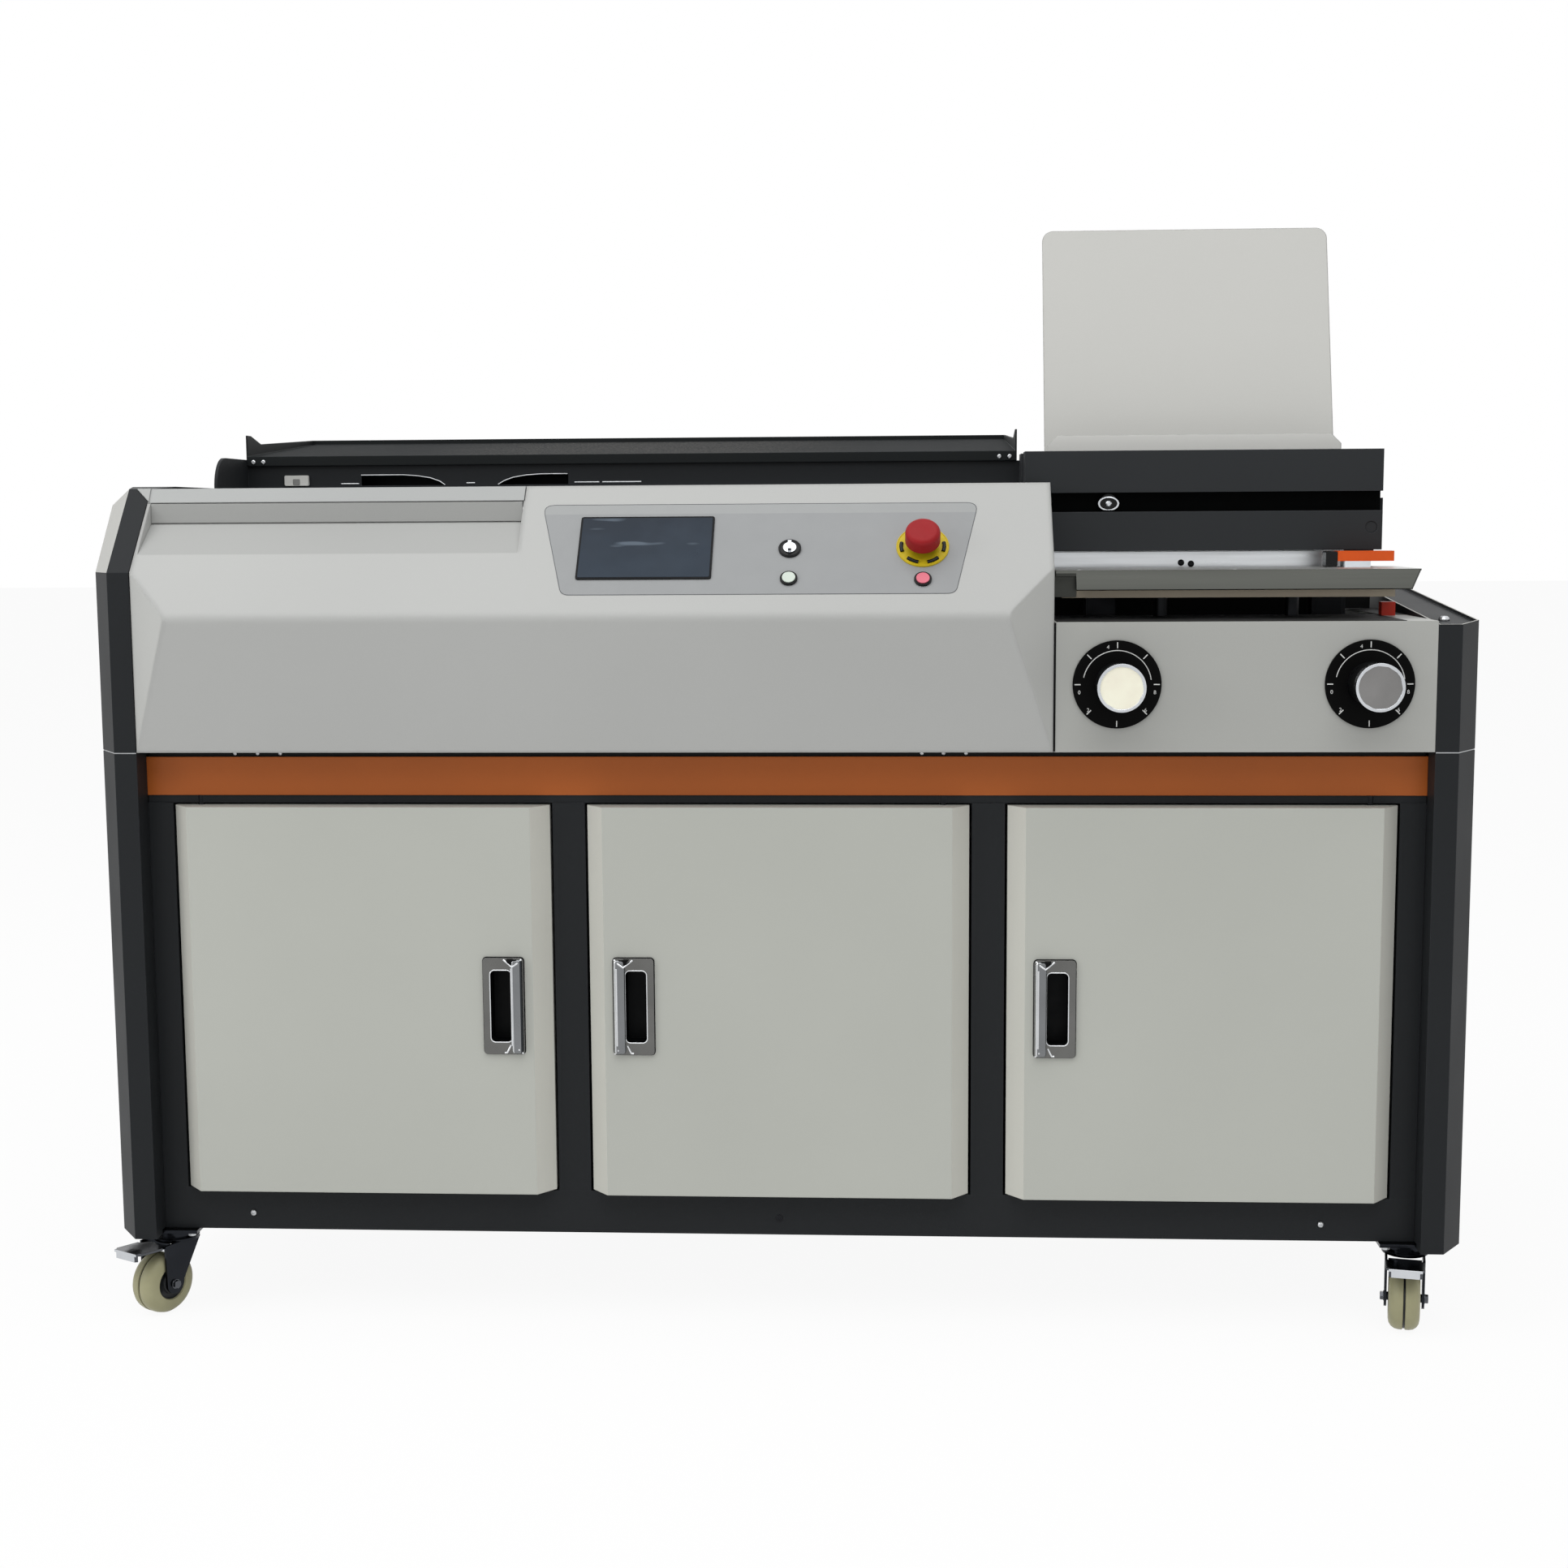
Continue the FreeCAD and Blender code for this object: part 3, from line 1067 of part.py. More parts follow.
def make_tray():
    """Shallow sheet tray on the girder: front rim, rising floor, back lip and two end plates."""
    path = [(tray_front_depth + tray_foot, girder_top_z), (tray_front_depth, girder_top_z),
            (tray_front_depth, tray_front_z), (tray_back_depth, tray_back_z),
            (tray_back_depth, tray_back_z + tray_back_lip)]
    floor = prism_x(folded(path, -sheet), girder_left_x, tray_right_x)
    ends = []
    for x in (girder_left_x, tray_right_x - sheet):
        ends.append(prism_x([(tray_front_depth, girder_top_z),
                             (tray_front_depth, tray_front_z + tray_end_rise),
                             (tray_front_depth + tray_end_flat, tray_front_z + tray_end_rise),
                             (tray_front_depth + tray_end_flat + tray_end_ramp,
                              tray_front_z + tray_end_rise - tray_end_fall),
                             (tray_back_depth, tray_back_z + tray_back_lip),
                             (tray_back_depth, tray_back_z - sheet),
                             (tray_front_depth + sheet, tray_front_z - 2 * sheet),
                             (tray_front_depth + sheet, girder_top_z)], x, x + sheet))
    save("top_tray", floor.fuse(ends).removeSplitter())


# ---------------------------------------------------------------- working units
def make_milling_unit():
    cutter = rod(cutter_radius, cutter_thickness, cutter_x, cutter_depth, cutter_z, upwards)
    for i in range(cutter_tooth_count):
        angle = 2 * math.pi * i / cutter_tooth_count
        reach = cutter_radius - tooth_size
        tooth = Part.makeBox(tooth_size, tooth_size, tooth_rise, Vector(-tooth_size / 2, -tooth_size / 2, 0))
        tooth.rotate(Vector(0, 0, 0), upwards, math.degrees(angle))
        tooth.translate(Vector(cutter_x + reach * math.cos(angle),
                               y_at(cutter_depth) + reach * math.sin(angle), cutter_z + cutter_thickness))
        cutter = cutter.fuse(tooth)
    shaft = rod(cutter_shaft_radius, cutter_z - cutter_motor_top - touch_gap, cutter_x, cutter_depth,
                cutter_motor_top + touch_gap, upwards)
    save("milling_cutter", cutter.fuse(shaft).removeSplitter())
    save("cutter_motor", rod(cutter_motor_radius, cutter_motor_top - upper_bottom, cutter_x, cutter_depth,
                             upper_bottom, upwards))

    hood = block(hood_left_x, hood_right_x, hood_front_depth, hood_back_depth, hood_bottom_z, hood_top_z)
    hood = hood.cut(block(hood_left_x + sheet, hood_right_x - sheet, hood_front_depth + sheet,
                          hood_back_depth - sheet, hood_bottom_z + sheet, hood_top_z))
    hood = hood.cut(rod(cutter_shaft_radius + through_gap, sheet, cutter_x, cutter_depth, hood_bottom_z,
                        upwards))
    duct_bottom = bin_top_z
    duct = rod(duct_radius, hood_bottom_z - duct_bottom, duct_x, cutter_depth, duct_bottom, upwards)
    duct_room = rod(duct_radius - sheet, hood_bottom_z - duct_bottom + sheet, duct_x, cutter_depth,
                    duct_bottom, upwards)
    hood = hood.fuse(duct).cut(duct_room).removeSplitter()
    outer = block(-bin_half_width, bin_half_width, bin_front_depth, bin_back_depth, bin_bottom, bin_top_z)
    inner = block(-bin_half_width + sheet, bin_half_width - sheet, bin_front_depth + sheet,
                  bin_back_depth - sheet, bin_bottom + sheet, bin_top_z - sheet)
    mouth = rod(duct_radius - sheet, sheet, duct_x, cutter_depth, bin_top_z - sheet, upwards)
    save("dust_extraction", hood, outer.cut(inner).cut(mouth))


def make_glue_unit():
    outer = block(tank_left_x, tank_right_x, tank_front_depth, tank_back_depth, tank_bottom_z, tank_top_z)
    inner = block(tank_left_x + tank_wall, tank_right_x - tank_wall, tank_front_depth + tank_wall,
                  tank_back_depth - tank_wall, tank_bottom_z + tank_wall, tank_top_z)
    tank = outer.cut(inner)
    tank = tank.cut(rod(roller_shaft_radius + running, tank_back_depth - tank_front_depth, roller_x,
                        tank_front_depth, roller_z, along_y))
    stand = block(tank_left_x + stand_inset, tank_right_x - stand_inset, tank_front_depth + tank_wall,
                  tank_back_depth - tank_wall, upper_bottom, tank_bottom_z)
    save("glue_tank", tank, stand)
    inside_front = tank_front_depth + tank_wall + roller_end_gap
    inside_back = tank_back_depth - tank_wall - roller_end_gap
    drum = rod(roller_radius, inside_back - inside_front, roller_x, inside_front, roller_z, along_y)
    shaft = rod(roller_shaft_radius, tank_back_depth - tank_front_depth, roller_x, tank_front_depth, roller_z,
                along_y)
    save("glue_roller", drum.fuse(shaft).removeSplitter())


def make_electrics():
    bottom = bin_bottom
    outer = block(box_left_x, box_right_x, box_front_depth, box_back_depth, bottom, box_top_z)
    inner = block(box_left_x + sheet, box_right_x - sheet, box_front_depth + sheet, box_back_depth - sheet,
                  bottom + sheet, box_top_z - sheet)
    save("electrical_box", outer.cut(inner))
    gap = touch_gap
    flange = block(inlet_x - inlet_width / 2 - inlet_flange, inlet_x + inlet_width / 2 + inlet_flange,
                   rear_plane + sheet, rear_plane + sheet + inlet_flange_thickness,
                   inlet_z - inlet_height / 2 - inlet_flange, inlet_z + inlet_height / 2 + inlet_flange)
    body = block(inlet_x - inlet_width / 2 + gap, inlet_x + inlet_width / 2 - gap,
                 rear_plane + sheet - inlet_depth, rear_plane + sheet,
                 inlet_z - inlet_height / 2 + gap, inlet_z + inlet_height / 2 - gap)
    flange_face = rear_plane + sheet + inlet_flange_thickness
    socket = block(inlet_x - socket_width / 2, inlet_x + socket_width / 2,
                   flange_face - socket_depth, flange_face,
                   inlet_z - socket_height / 2, inlet_z + socket_height / 2)
    save("power_inlet", flange.fuse(body).cut(socket))


# ---------------------------------------------------------------- casters
def place_caster(shape, x, depth, angle):
    placed = shape.copy()
    placed.rotate(Vector(0, 0, 0), upwards, angle)
    placed.translate(Vector(x, y_at(depth), 0))
    return placed


def make_fork():
    """A swivel fork drawn with its trail along +X: crown, race, kingpin, two legs and the axle bolt."""
    race_top = frame_bottom - plate_thickness - touch_gap
    crown = Part.makeCylinder(crown_radius, crown_thickness, Vector(0, 0, crown_z))
    race = Part.makeCylinder(race_radius, race_top - crown_z, Vector(0, 0, crown_z))
    kingpin_top = frame_bottom - kingpin_recess
    kingpin = Part.makeCylinder(kingpin_radius, kingpin_top - crown_z, Vector(0, 0, crown_z))
    fork = crown.fuse([race, kingpin])
    inner = wheel_width / 2 + leg_gap
    for side in (-1, 1):
        y0 = side * inner if side > 0 else side * inner - leg_thickness
        leg_front_x = pedal_pivot_x + leg_front_reach
        leg_top = crown_z + crown_thickness / 2
        outline = [Vector(-leg_back_reach, y0, leg_top), Vector(leg_front_x, y0, leg_top),
                   Vector(leg_front_x, y0, leg_top - leg_front_height),
                   Vector(caster_trail + leg_foot_radius, y0, wheel_radius),
                   Vector(caster_trail - leg_foot_radius, y0, wheel_radius)]
        leg = Part.Face(Part.makePolygon(outline + outline[:1])).extrude(Vector(0, leg_thickness, 0))
        foot = Part.makeCylinder(leg_foot_radius, leg_thickness, Vector(caster_trail, y0, wheel_radius),
                                 along_y)
        fork = fork.fuse([leg, foot])
    hole = Part.makeCylinder(axle_radius, 2 * inner + 2 * leg_thickness,
                             Vector(caster_trail, -inner - leg_thickness, wheel_radius), along_y)
    pivot = Part.makeCylinder(pedal_pivot_radius, 2 * inner, Vector(pedal_pivot_x, -inner, pedal_pivot_z),
                              along_y)
    return fork.fuse(pivot).cut(hole).removeSplitter(), hole


def make_wheel():
    start = Vector(caster_trail, -wheel_width / 2, wheel_radius)
    wheel = Part.makeCylinder(wheel_radius, wheel_width, start, along_y)
    rims = [e for e in wheel.Edges if abs(e.BoundBox.YMax - e.BoundBox.YMin) < 0.01]
    wheel = wheel.makeFillet(wheel_edge_round, rims)
    bore = Part.makeCylinder(axle_radius + running, wheel_width, start, along_y)
    for y in (-wheel_width / 2, wheel_width / 2 - wheel_dish_depth):
        middle = Vector(caster_trail, y, wheel_radius)
        dish = Part.makeCylinder(wheel_dish_radius, wheel_dish_depth, middle, along_y)
        hub = Part.makeCylinder(leg_foot_radius, wheel_dish_depth, middle, along_y)
        wheel = wheel.cut(dish.cut(hub))
    return wheel.cut(bore)


def make_pedal():
    """Brake pedal: an eye round the pivot, a neck, and a wider foot plate with its tip bent down."""
    half = wheel_width / 2 + leg_gap - pedal_side_gap
    eye_radius = pedal_pivot_radius + pedal_eye_wall
    eye = Part.makeCylinder(eye_radius, 2 * half, Vector(pedal_pivot_x, -half, pedal_pivot_z), along_y)
    low = pedal_pivot_z + eye_radius - pedal_thickness
    tip_x = pedal_pivot_x + pedal_length - pedal_tip
    outline = [Vector(pedal_pivot_x, -half, low), Vector(tip_x, -half, low + pedal_rise),
               Vector(tip_x, -half, low + pedal_rise + pedal_thickness),
               Vector(pedal_pivot_x, -half, low + pedal_thickness)]
    neck = Part.Face(Part.makePolygon(outline + outline[:1])).extrude(Vector(0, 2 * half, 0))
    foot_x, top = pedal_pivot_x + pedal_foot_start, low + pedal_rise + pedal_thickness
    slope = pedal_rise / (tip_x - pedal_pivot_x)
    foot_low = low + slope * pedal_foot_start
    side = pedal_foot_width / 2
    outline = [Vector(foot_x, -side, foot_low), Vector(tip_x - pedal_thickness, -side, low + pedal_rise),
               Vector(tip_x - pedal_thickness, -side, top - pedal_lip_height),
               Vector(tip_x, -side, top - pedal_lip_height), Vector(tip_x, -side, top),
               Vector(foot_x, -side, foot_low + pedal_thickness)]
    foot = Part.Face(Part.makePolygon(outline + outline[:1])).extrude(Vector(0, 2 * side, 0))
    cut = pedal_foot_corner
    plan = [Vector(foot_x, -side, 0), Vector(tip_x - cut, -side, 0), Vector(tip_x, cut - side, 0),
            Vector(tip_x, side - cut, 0), Vector(tip_x - cut, side, 0), Vector(foot_x, side, 0)]
    foot = foot.common(Part.Face(Part.makePolygon(plan + plan[:1])).extrude(Vector(0, 0, top)))
    bore = Part.makeCylinder(pedal_pivot_radius + running, 2 * half,
                             Vector(pedal_pivot_x, -half, pedal_pivot_z), along_y)
    return eye.fuse([neck, foot]).cut(bore).removeSplitter()


def make_casters():
    fork, axle = make_fork()
    wheel = make_wheel()
    pedal = make_pedal()
    plates = []
    for name, (x, depth, angle) in caster_places.items():
        save("caster_fork_" + name, place_caster(fork, x, depth, angle), place_caster(axle, x, depth, angle))
        save("caster_wheel_" + name, place_caster(wheel, x, depth, angle))
        if name.startswith("front"):
            save("brake_pedal_" + name, place_caster(pedal, x, depth, angle))
        plate = block(x - plate_half, x + plate_half, depth - plate_half, depth + plate_half,
                      frame_bottom - plate_thickness, frame_bottom)
        plates.append(plate.cut(rod(kingpin_radius + running, plate_thickness, x, depth,
                                    frame_bottom - plate_thickness, upwards)))
    save("caster_plates", *plates)


os.makedirs("parts", exist_ok=True)
make_cabinet_frame()
make_lower_casings()
make_left_upper_casing()
make_right_upper_casing()
make_rear_panel()
make_bed_plate()
make_accent_strip()
make_doors()
make_cowl()
make_lid()
make_controls()
make_right_panel()
make_knob("left", knob_left_x)
make_knob("right", knob_right_x)
make_nipping_unit()
make_cover_table()
make_carriage()
make_girder()
make_tray()
make_milling_unit()
make_glue_unit()
make_electrics()
make_casters()
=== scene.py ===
import bmesh
import bpy
from math import cos, hypot, pi, radians, sin, tan
from mathutils import Matrix, Vector


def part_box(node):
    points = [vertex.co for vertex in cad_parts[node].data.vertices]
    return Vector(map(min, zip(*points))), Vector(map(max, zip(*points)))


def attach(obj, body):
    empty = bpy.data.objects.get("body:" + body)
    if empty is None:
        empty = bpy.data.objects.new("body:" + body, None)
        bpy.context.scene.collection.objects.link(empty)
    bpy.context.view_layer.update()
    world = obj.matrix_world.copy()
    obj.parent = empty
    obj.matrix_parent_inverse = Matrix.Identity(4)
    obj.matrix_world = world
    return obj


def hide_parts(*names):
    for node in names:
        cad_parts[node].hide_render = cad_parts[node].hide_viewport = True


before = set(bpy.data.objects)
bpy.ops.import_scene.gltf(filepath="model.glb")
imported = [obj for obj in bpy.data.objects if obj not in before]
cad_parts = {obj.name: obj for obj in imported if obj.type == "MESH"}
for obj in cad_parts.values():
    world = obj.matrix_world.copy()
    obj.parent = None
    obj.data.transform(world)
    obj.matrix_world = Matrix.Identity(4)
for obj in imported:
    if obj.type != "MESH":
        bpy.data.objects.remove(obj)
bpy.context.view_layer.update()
bpy.context.scene.view_settings.view_transform = "Standard"


# ------------------------ studio
# A white floor in an evenly bright room, with one wide softbox above the front and a small fill at the left.
# The camera stands before the machine, a little right of its middle, and looks slightly down on it.
def add_node(tree, kind, sockets=None, **settings):
    """Adds a node, a shader node unless kind is a full type; a socket takes a value or another's output."""
    full_type = kind.startswith(("GeometryNode", "FunctionNode", "NodeGroup"))
    made = tree.nodes.new(kind if full_type else "ShaderNode" + kind)
    for key, value in settings.items():
        setattr(made, key, value)
    for key, value in (sockets or {}).items():
        if isinstance(value, bpy.types.NodeSocket):
            tree.links.new(value, made.inputs[key])
        else:
            made.inputs[key].default_value = value
    return made


def product(tree, first, second):
    return add_node(tree, "Math", {0: first, 1: second}, operation="MULTIPLY").outputs[0]


def sees_studio(tree):
    """1 for the kinds of ray that see the white studio, 0 for the light that reaches the machine."""
    path = add_node(tree, "LightPath")
    seen = path.outputs["Is Camera Ray"]
    for kind in ("Is Glossy Ray", "Is Transmission Ray"):
        seen = add_node(tree, "Math", {0: seen, 1: path.outputs[kind]}, operation="MAXIMUM").outputs[0]
    return seen


def mesh_of(name, vertices, faces=()):
    mesh = bpy.data.meshes.new(name)
    mesh.from_pydata([tuple(v) for v in vertices], [], faces)
    return mesh


def in_scene(name, data):
    """Puts a mesh, curve, lamp or camera into the scene as an object."""
    thing = bpy.data.objects.new(name, data)
    bpy.context.scene.collection.objects.link(thing)
    return thing


white = (1, 1, 1, 1)
room = bpy.data.worlds.new("room")
bpy.context.scene.world = room
room.use_nodes = True
tree = room.node_tree
tree.nodes.clear()
glow = add_node(tree, "Background", {"Color": white, "Strength": 0.42})
wall = add_node(tree, "Background", {"Color": white, "Strength": 1.0})
both = add_node(tree, "MixShader", {0: sees_studio(tree), 1: glow.outputs[0], 2: wall.outputs[0]})
add_node(tree, "OutputWorld", {"Surface": both.outputs[0]})

floor_paint = bpy.data.materials.new("floor_paint")
floor_paint.use_nodes = True
tree = floor_paint.node_tree
tree.nodes.clear()
matt = add_node(tree, "BsdfDiffuse", {"Color": (0.95, 0.95, 0.95, 1)})
bright = add_node(tree, "Emission", {"Color": white, "Strength": 1.0})
lifted = product(tree, sees_studio(tree), 0.93)
both = add_node(tree, "MixShader", {0: lifted, 1: matt.outputs[0], 2: bright.outputs[0]})
add_node(tree, "OutputMaterial", {"Surface": both.outputs[0]})
floor_reach, floor_z = 30, -0.0003
floor_corners = [(x * floor_reach, y * floor_reach, floor_z) for x, y in ((-1, -1), (1, -1), (1, 1), (-1, 1))]
floor_mesh = mesh_of("floor", floor_corners, [(0, 1, 2, 3)])
floor_mesh.materials.append(floor_paint)
floor = in_scene("floor", floor_mesh)


def softbox(name, stand, aim, width, height, watts):
    """A rectangular studio lamp on its stand, turned to an aim point."""
    lamp = bpy.data.lights.new(name, "AREA")
    lamp.shape, lamp.size, lamp.size_y, lamp.energy = "RECTANGLE", width, height, watts
    box = in_scene(name, lamp)
    box.rotation_euler = (Vector(aim) - Vector(stand)).to_track_quat("-Z", "Y").to_euler()
    box.location = stand


machine_middle = (0, 0, 0.7)
softbox("overhead_softbox", (-0.5, -1.9, 4.7), machine_middle, 7.0, 4.5, 188)
softbox("left_fill", (-4.4, -2.6, 2.0), machine_middle, 2.0, 2.0, 34)

camera = in_scene("camera", bpy.data.cameras.new("camera"))
bpy.context.scene.camera = camera
camera.data.sensor_width, camera.data.lens = 36.0, 49.924
camera_stand = (0.1455, -2.7864, 0.9521)
yaw, pitch, roll = 0.0548, 0.1206, -0.0063
ahead = Vector((-sin(yaw) * cos(pitch), cos(yaw) * cos(pitch), -sin(pitch)))
level = Vector((cos(yaw), sin(yaw), 0))
upright = level.cross(ahead)
across = cos(roll) * level + sin(roll) * upright
above = -sin(roll) * level + cos(roll) * upright
turned = Matrix((across, above, -ahead)).transposed().to_4x4()
camera.matrix_world = Matrix.Translation(camera_stand) @ turned


# ------------------------ welded cabinet frame
# Square steel tubes welded to a base ring, uprights and a top ring, powder coated charcoal.
# Two zinc screws and a black plug show in the bottom beam, where the floor sheet is held.
def srgb(red, green, blue):
    """A colour as a paint chart gives it, 0 to 255, made linear for the shader."""
    return tuple(c / 12.92 if c <= 0.04045 else ((c + 0.055) / 1.055) ** 2.4
                 for c in (red / 255, green / 255, blue / 255)) + (1,)


def shade(colour, by):
    return tuple(min(1.0, c * by) for c in colour[:3]) + (1,)


def own_place(tree):
    """The machine's own coordinates, in metres."""
    return add_node(tree, "TexCoord").outputs["Object"]


def noise(tree, scale, detail=2.0, stretch=None):
    """Noise on the machine's own coordinates; stretch squeezes it along the axes for brushed metal."""
    where = own_place(tree)
    if stretch:
        where = add_node(tree, "Mapping", {"Vector": where, "Scale": stretch}).outputs[0]
    return add_node(tree, "TexNoise", {"Vector": where, "Scale": scale, "Detail": detail}).outputs["Fac"]


def ramp(tree, value, low, high, out_low=0.0, out_high=1.0):
    return add_node(tree, "MapRange", {0: value, 1: low, 2: high, 3: out_low, 4: out_high}).outputs[0]


def blend_colours(tree, amount, first, second):
    return add_node(tree, "Mix", {0: amount, 6: first, 7: second}, data_type="RGBA").outputs[2]


def rounded_edges(tree, radius):
    """The surface direction with every edge rounded off, and how near an edge the point is, 0 to 1."""
    soft = add_node(tree, "Bevel", {"Radius": radius}, samples=4).outputs[0]
    hard = add_node(tree, "NewGeometry").outputs["Normal"]
    turn = add_node(tree, "VectorMath", {0: soft, 1: hard}, operation="DOT_PRODUCT").outputs["Value"]
    return soft, ramp(tree, turn, 0.985, 0.8)


def new_finish(name, metallic=0.0, shine=0.5):
    """A new material with its node tree, its metal share and its shine set."""
    finish = bpy.data.materials.new(name)
    finish.use_nodes = True
    shader = finish.node_tree.nodes["Principled BSDF"]
    shader.inputs["Metallic"].default_value = metallic
    shader.inputs["Specular IOR Level"].default_value = shine
    return finish, finish.node_tree


def dress(finish, body, gloss, relief, strength, height, soft):
    """Leads a finish's colour, roughness and relief (its height in metres) to its shader."""
    tree = finish.node_tree
    shader = tree.nodes["Principled BSDF"]
    tree.links.new(body, shader.inputs["Base Color"])
    tree.links.new(gloss, shader.inputs["Roughness"])
    bump = add_node(tree, "Bump", {"Strength": strength, "Distance": height, "Height": relief,
                                   "Normal": soft})
    tree.links.new(bump.outputs[0], shader.inputs["Normal"])
    return finish


def powder_coat(name, colour, rough=0.45, peel=0.25, edge_tone=1.6, edge_radius=0.0015, cloud=0.05,
                shine=0.25):
    """Baked powder paint: slight orange peel, faint clouds and specks; its edge tone is rubbed wear plus
    painted highlight or outline.
    """
    finish, tree = new_finish(name, shine=shine)
    colour = srgb(*colour)
    clouds = ramp(tree, noise(tree, 2.3, 3.0), 0.35, 0.65)
    body = blend_colours(tree, clouds, shade(colour, 1 - cloud), shade(colour, 1 + cloud))
    specks = ramp(tree, noise(tree, 1400.0, 1.0), 0.62, 0.75, 0.0, 0.25)
    body = blend_colours(tree, specks, body, shade(colour, 1.25))
    soft, near_edge = rounded_edges(tree, edge_radius)
    # Along the edges: rubbed wear, and where edge_tone is far from 1 also a painted highlight or painted dark
    # outline.
    edge_wear_and_light = product(tree, near_edge, ramp(tree, noise(tree, 60.0, 4.0), 0.35, 0.7, 0.35, 1.0))
    body = blend_colours(tree, edge_wear_and_light, body, shade(colour, edge_tone))
    gloss = ramp(tree, noise(tree, 9.0, 4.0), 0.3, 0.7, rough - 0.025, rough + 0.025)
    return dress(finish, body, gloss, noise(tree, 520.0), peel, 0.0003, soft)


def plated_metal(name, colour, rough, smudge=0.08, wave=0.12, stretch=None, metallic=1.0):
    """Plated or ground metal with smudges in its gloss, fine lines or ripples, and edges lightened as a
    painted highlight.
    """
    finish, tree = new_finish(name, metallic)
    colour = srgb(*colour)
    tone = ramp(tree, noise(tree, 22.0, 4.0, stretch), 0.3, 0.7)
    body = blend_colours(tree, tone, shade(colour, 0.88), shade(colour, 1.06))
    soft, near_edge = rounded_edges(tree, 0.0006)
    # Painted highlight: every edge is lightened by the same share.
    body = blend_colours(tree, near_edge, body, shade(colour, 1.25))
    gloss = ramp(tree, noise(tree, 48.0, 5.0, stretch), 0.3, 0.7, rough - smudge / 2, rough + smudge)
    return dress(finish, body, gloss, noise(tree, 260.0, 3.0, stretch), wave, 0.0003, soft)


def coat(finish, *nodes):
    """Gives whole CAD pieces one finish."""
    for name in nodes:
        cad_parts[name].material_slots[0].material = finish


posts_front = 311


def at(x, depth, z):
    """A place on the machine in metres from X, depth behind the posts' front and height in mm."""
    return Vector((x, depth - posts_front, z)) / 1000


def in_mm(place):
    """X, depth behind the posts' front and height in mm of a place in metres."""
    return place.x * 1000, place.y * 1000 + posts_front, place.z * 1000


def coat_faces(finish, node, chosen):
    """Gives a finish to those faces of a CAD piece whose middle (x, depth and z in mm) and normal fit."""
    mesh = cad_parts[node].data
    mesh.materials.append(finish)
    for face in mesh.polygons:
        if chosen(*in_mm(face.center), face.normal):
            face.material_index = len(mesh.materials) - 1


def tube_faces(rings, sides, closed=False):
    """Quads between rings of points; the ends are capped, or closed joins the last ring to the first."""
    faces = [(r * sides + i, r * sides + (i + 1) % sides,
              (r + 1) % rings * sides + (i + 1) % sides, (r + 1) % rings * sides + i)
             for r in range(rings if closed else rings - 1) for i in range(sides)]
    if not closed:
        faces += [tuple(range(sides))[::-1], tuple(range((rings - 1) * sides, rings * sides))]
    return faces


def turned_head(name, rings):
    """A screw head of unit size from (radius, z, sides) rings; sides 6 is a hexagon, 0 round."""
    corners, vertices = 12, []
    for radius, z, sides in rings:
        for i in range(corners):
            turn = 2 * pi * i / corners
            reach = radius
            if sides:
                reach *= cos(pi / sides) / cos(turn % (2 * pi / sides) - pi / sides)
            vertices.append((reach * cos(turn), reach * sin(turn), z))
    return bpy.data.objects.new(name, mesh_of(name, vertices, tube_faces(len(rings), corners)))


button_head = turned_head("button_head", [(0.5, 0, 0), (0.5, 0.3, 0), (0.44, 0.66, 0), (0.31, 0.95, 0),
                                          (0.27, 1.0, 0), (0.25, 1.0, 6), (0.24, 0.4, 6)])
hex_head = turned_head("hex_head", [(0.5, 0, 0), (0.5, 0.16, 0), (0.43, 0.17, 6), (0.43, 0.9, 6),
                                    (0.38, 1.0, 0)])


def new_group(name, **inputs):
    """A Geometry Nodes group with named inputs, and the sockets that give them inside it."""
    group = bpy.data.node_groups.new(name, "GeometryNodeTree")
    for label, kind in inputs.items():
        group.interface.new_socket(label, in_out="INPUT", socket_type="NodeSocket" + kind)
    group.interface.new_socket("Result", in_out="OUTPUT", socket_type="NodeSocketGeometry")
    return group, group.nodes.new("NodeGroupInput").outputs


def set_out(group, points, shape, finish, **placing):
    """Ends a group: the shape on each point, made real and given its finish."""
    place = add_node(group, "GeometryNodeInstanceOnPoints", {"Points": points, "Instance": shape, **placing})
    real = add_node(group, "GeometryNodeRealizeInstances", {0: place.outputs[0]})
    paint = add_node(group, "GeometryNodeSetMaterial", {"Geometry": real.outputs[0], "Material": finish})
    add_node(group, "NodeGroupOutput", {0: paint.outputs[0]})
    return group


def fastener_tree():
    """Geometry Nodes: one screw head on each point, all facing one way, each with its own twist."""
    group, given = new_group("fasteners", Points="Geometry", Head="Object", Diameter="Float", Height="Float",
                             Facing="Vector", Finish="Material")
    head = add_node(group, "GeometryNodeObjectInfo", {"Object": given["Head"]})
    size = add_node(group, "CombineXYZ", {0: given["Diameter"], 1: given["Diameter"], 2: given["Height"]})
    face = add_node(group, "FunctionNodeAlignRotationToVector", {"Vector": given["Facing"]}, axis="Z")
    most_turn = 6.283
    chance = add_node(group, "FunctionNodeRandomValue", {"Seed": 7, 3: most_turn})
    twist = add_node(group, "FunctionNodeAxisAngleToRotation", {"Angle": chance.outputs[1]})
    turn = add_node(group, "FunctionNodeRotateRotation",
                    {"Rotation": face.outputs[0], "Rotate By": twist.outputs[0]}, rotation_space="LOCAL")
    return set_out(group, given["Points"], head.outputs["Geometry"], given["Finish"],
                   Rotation=turn.outputs[0], Scale=size.outputs[0])


fasteners = fastener_tree()


def plain_mesh(thing):
    """The plain mesh that an object's modifiers, or its curve, make."""
    bpy.context.view_layer.update()
    return bpy.data.meshes.new_from_object(thing.evaluated_get(bpy.context.evaluated_depsgraph_get()))


def keep_result(piece):
    """Replaces an object's mesh by what its modifiers make of it, and drops the modifiers."""
    result = plain_mesh(piece)
    piece.modifiers.clear()
    piece.data = result


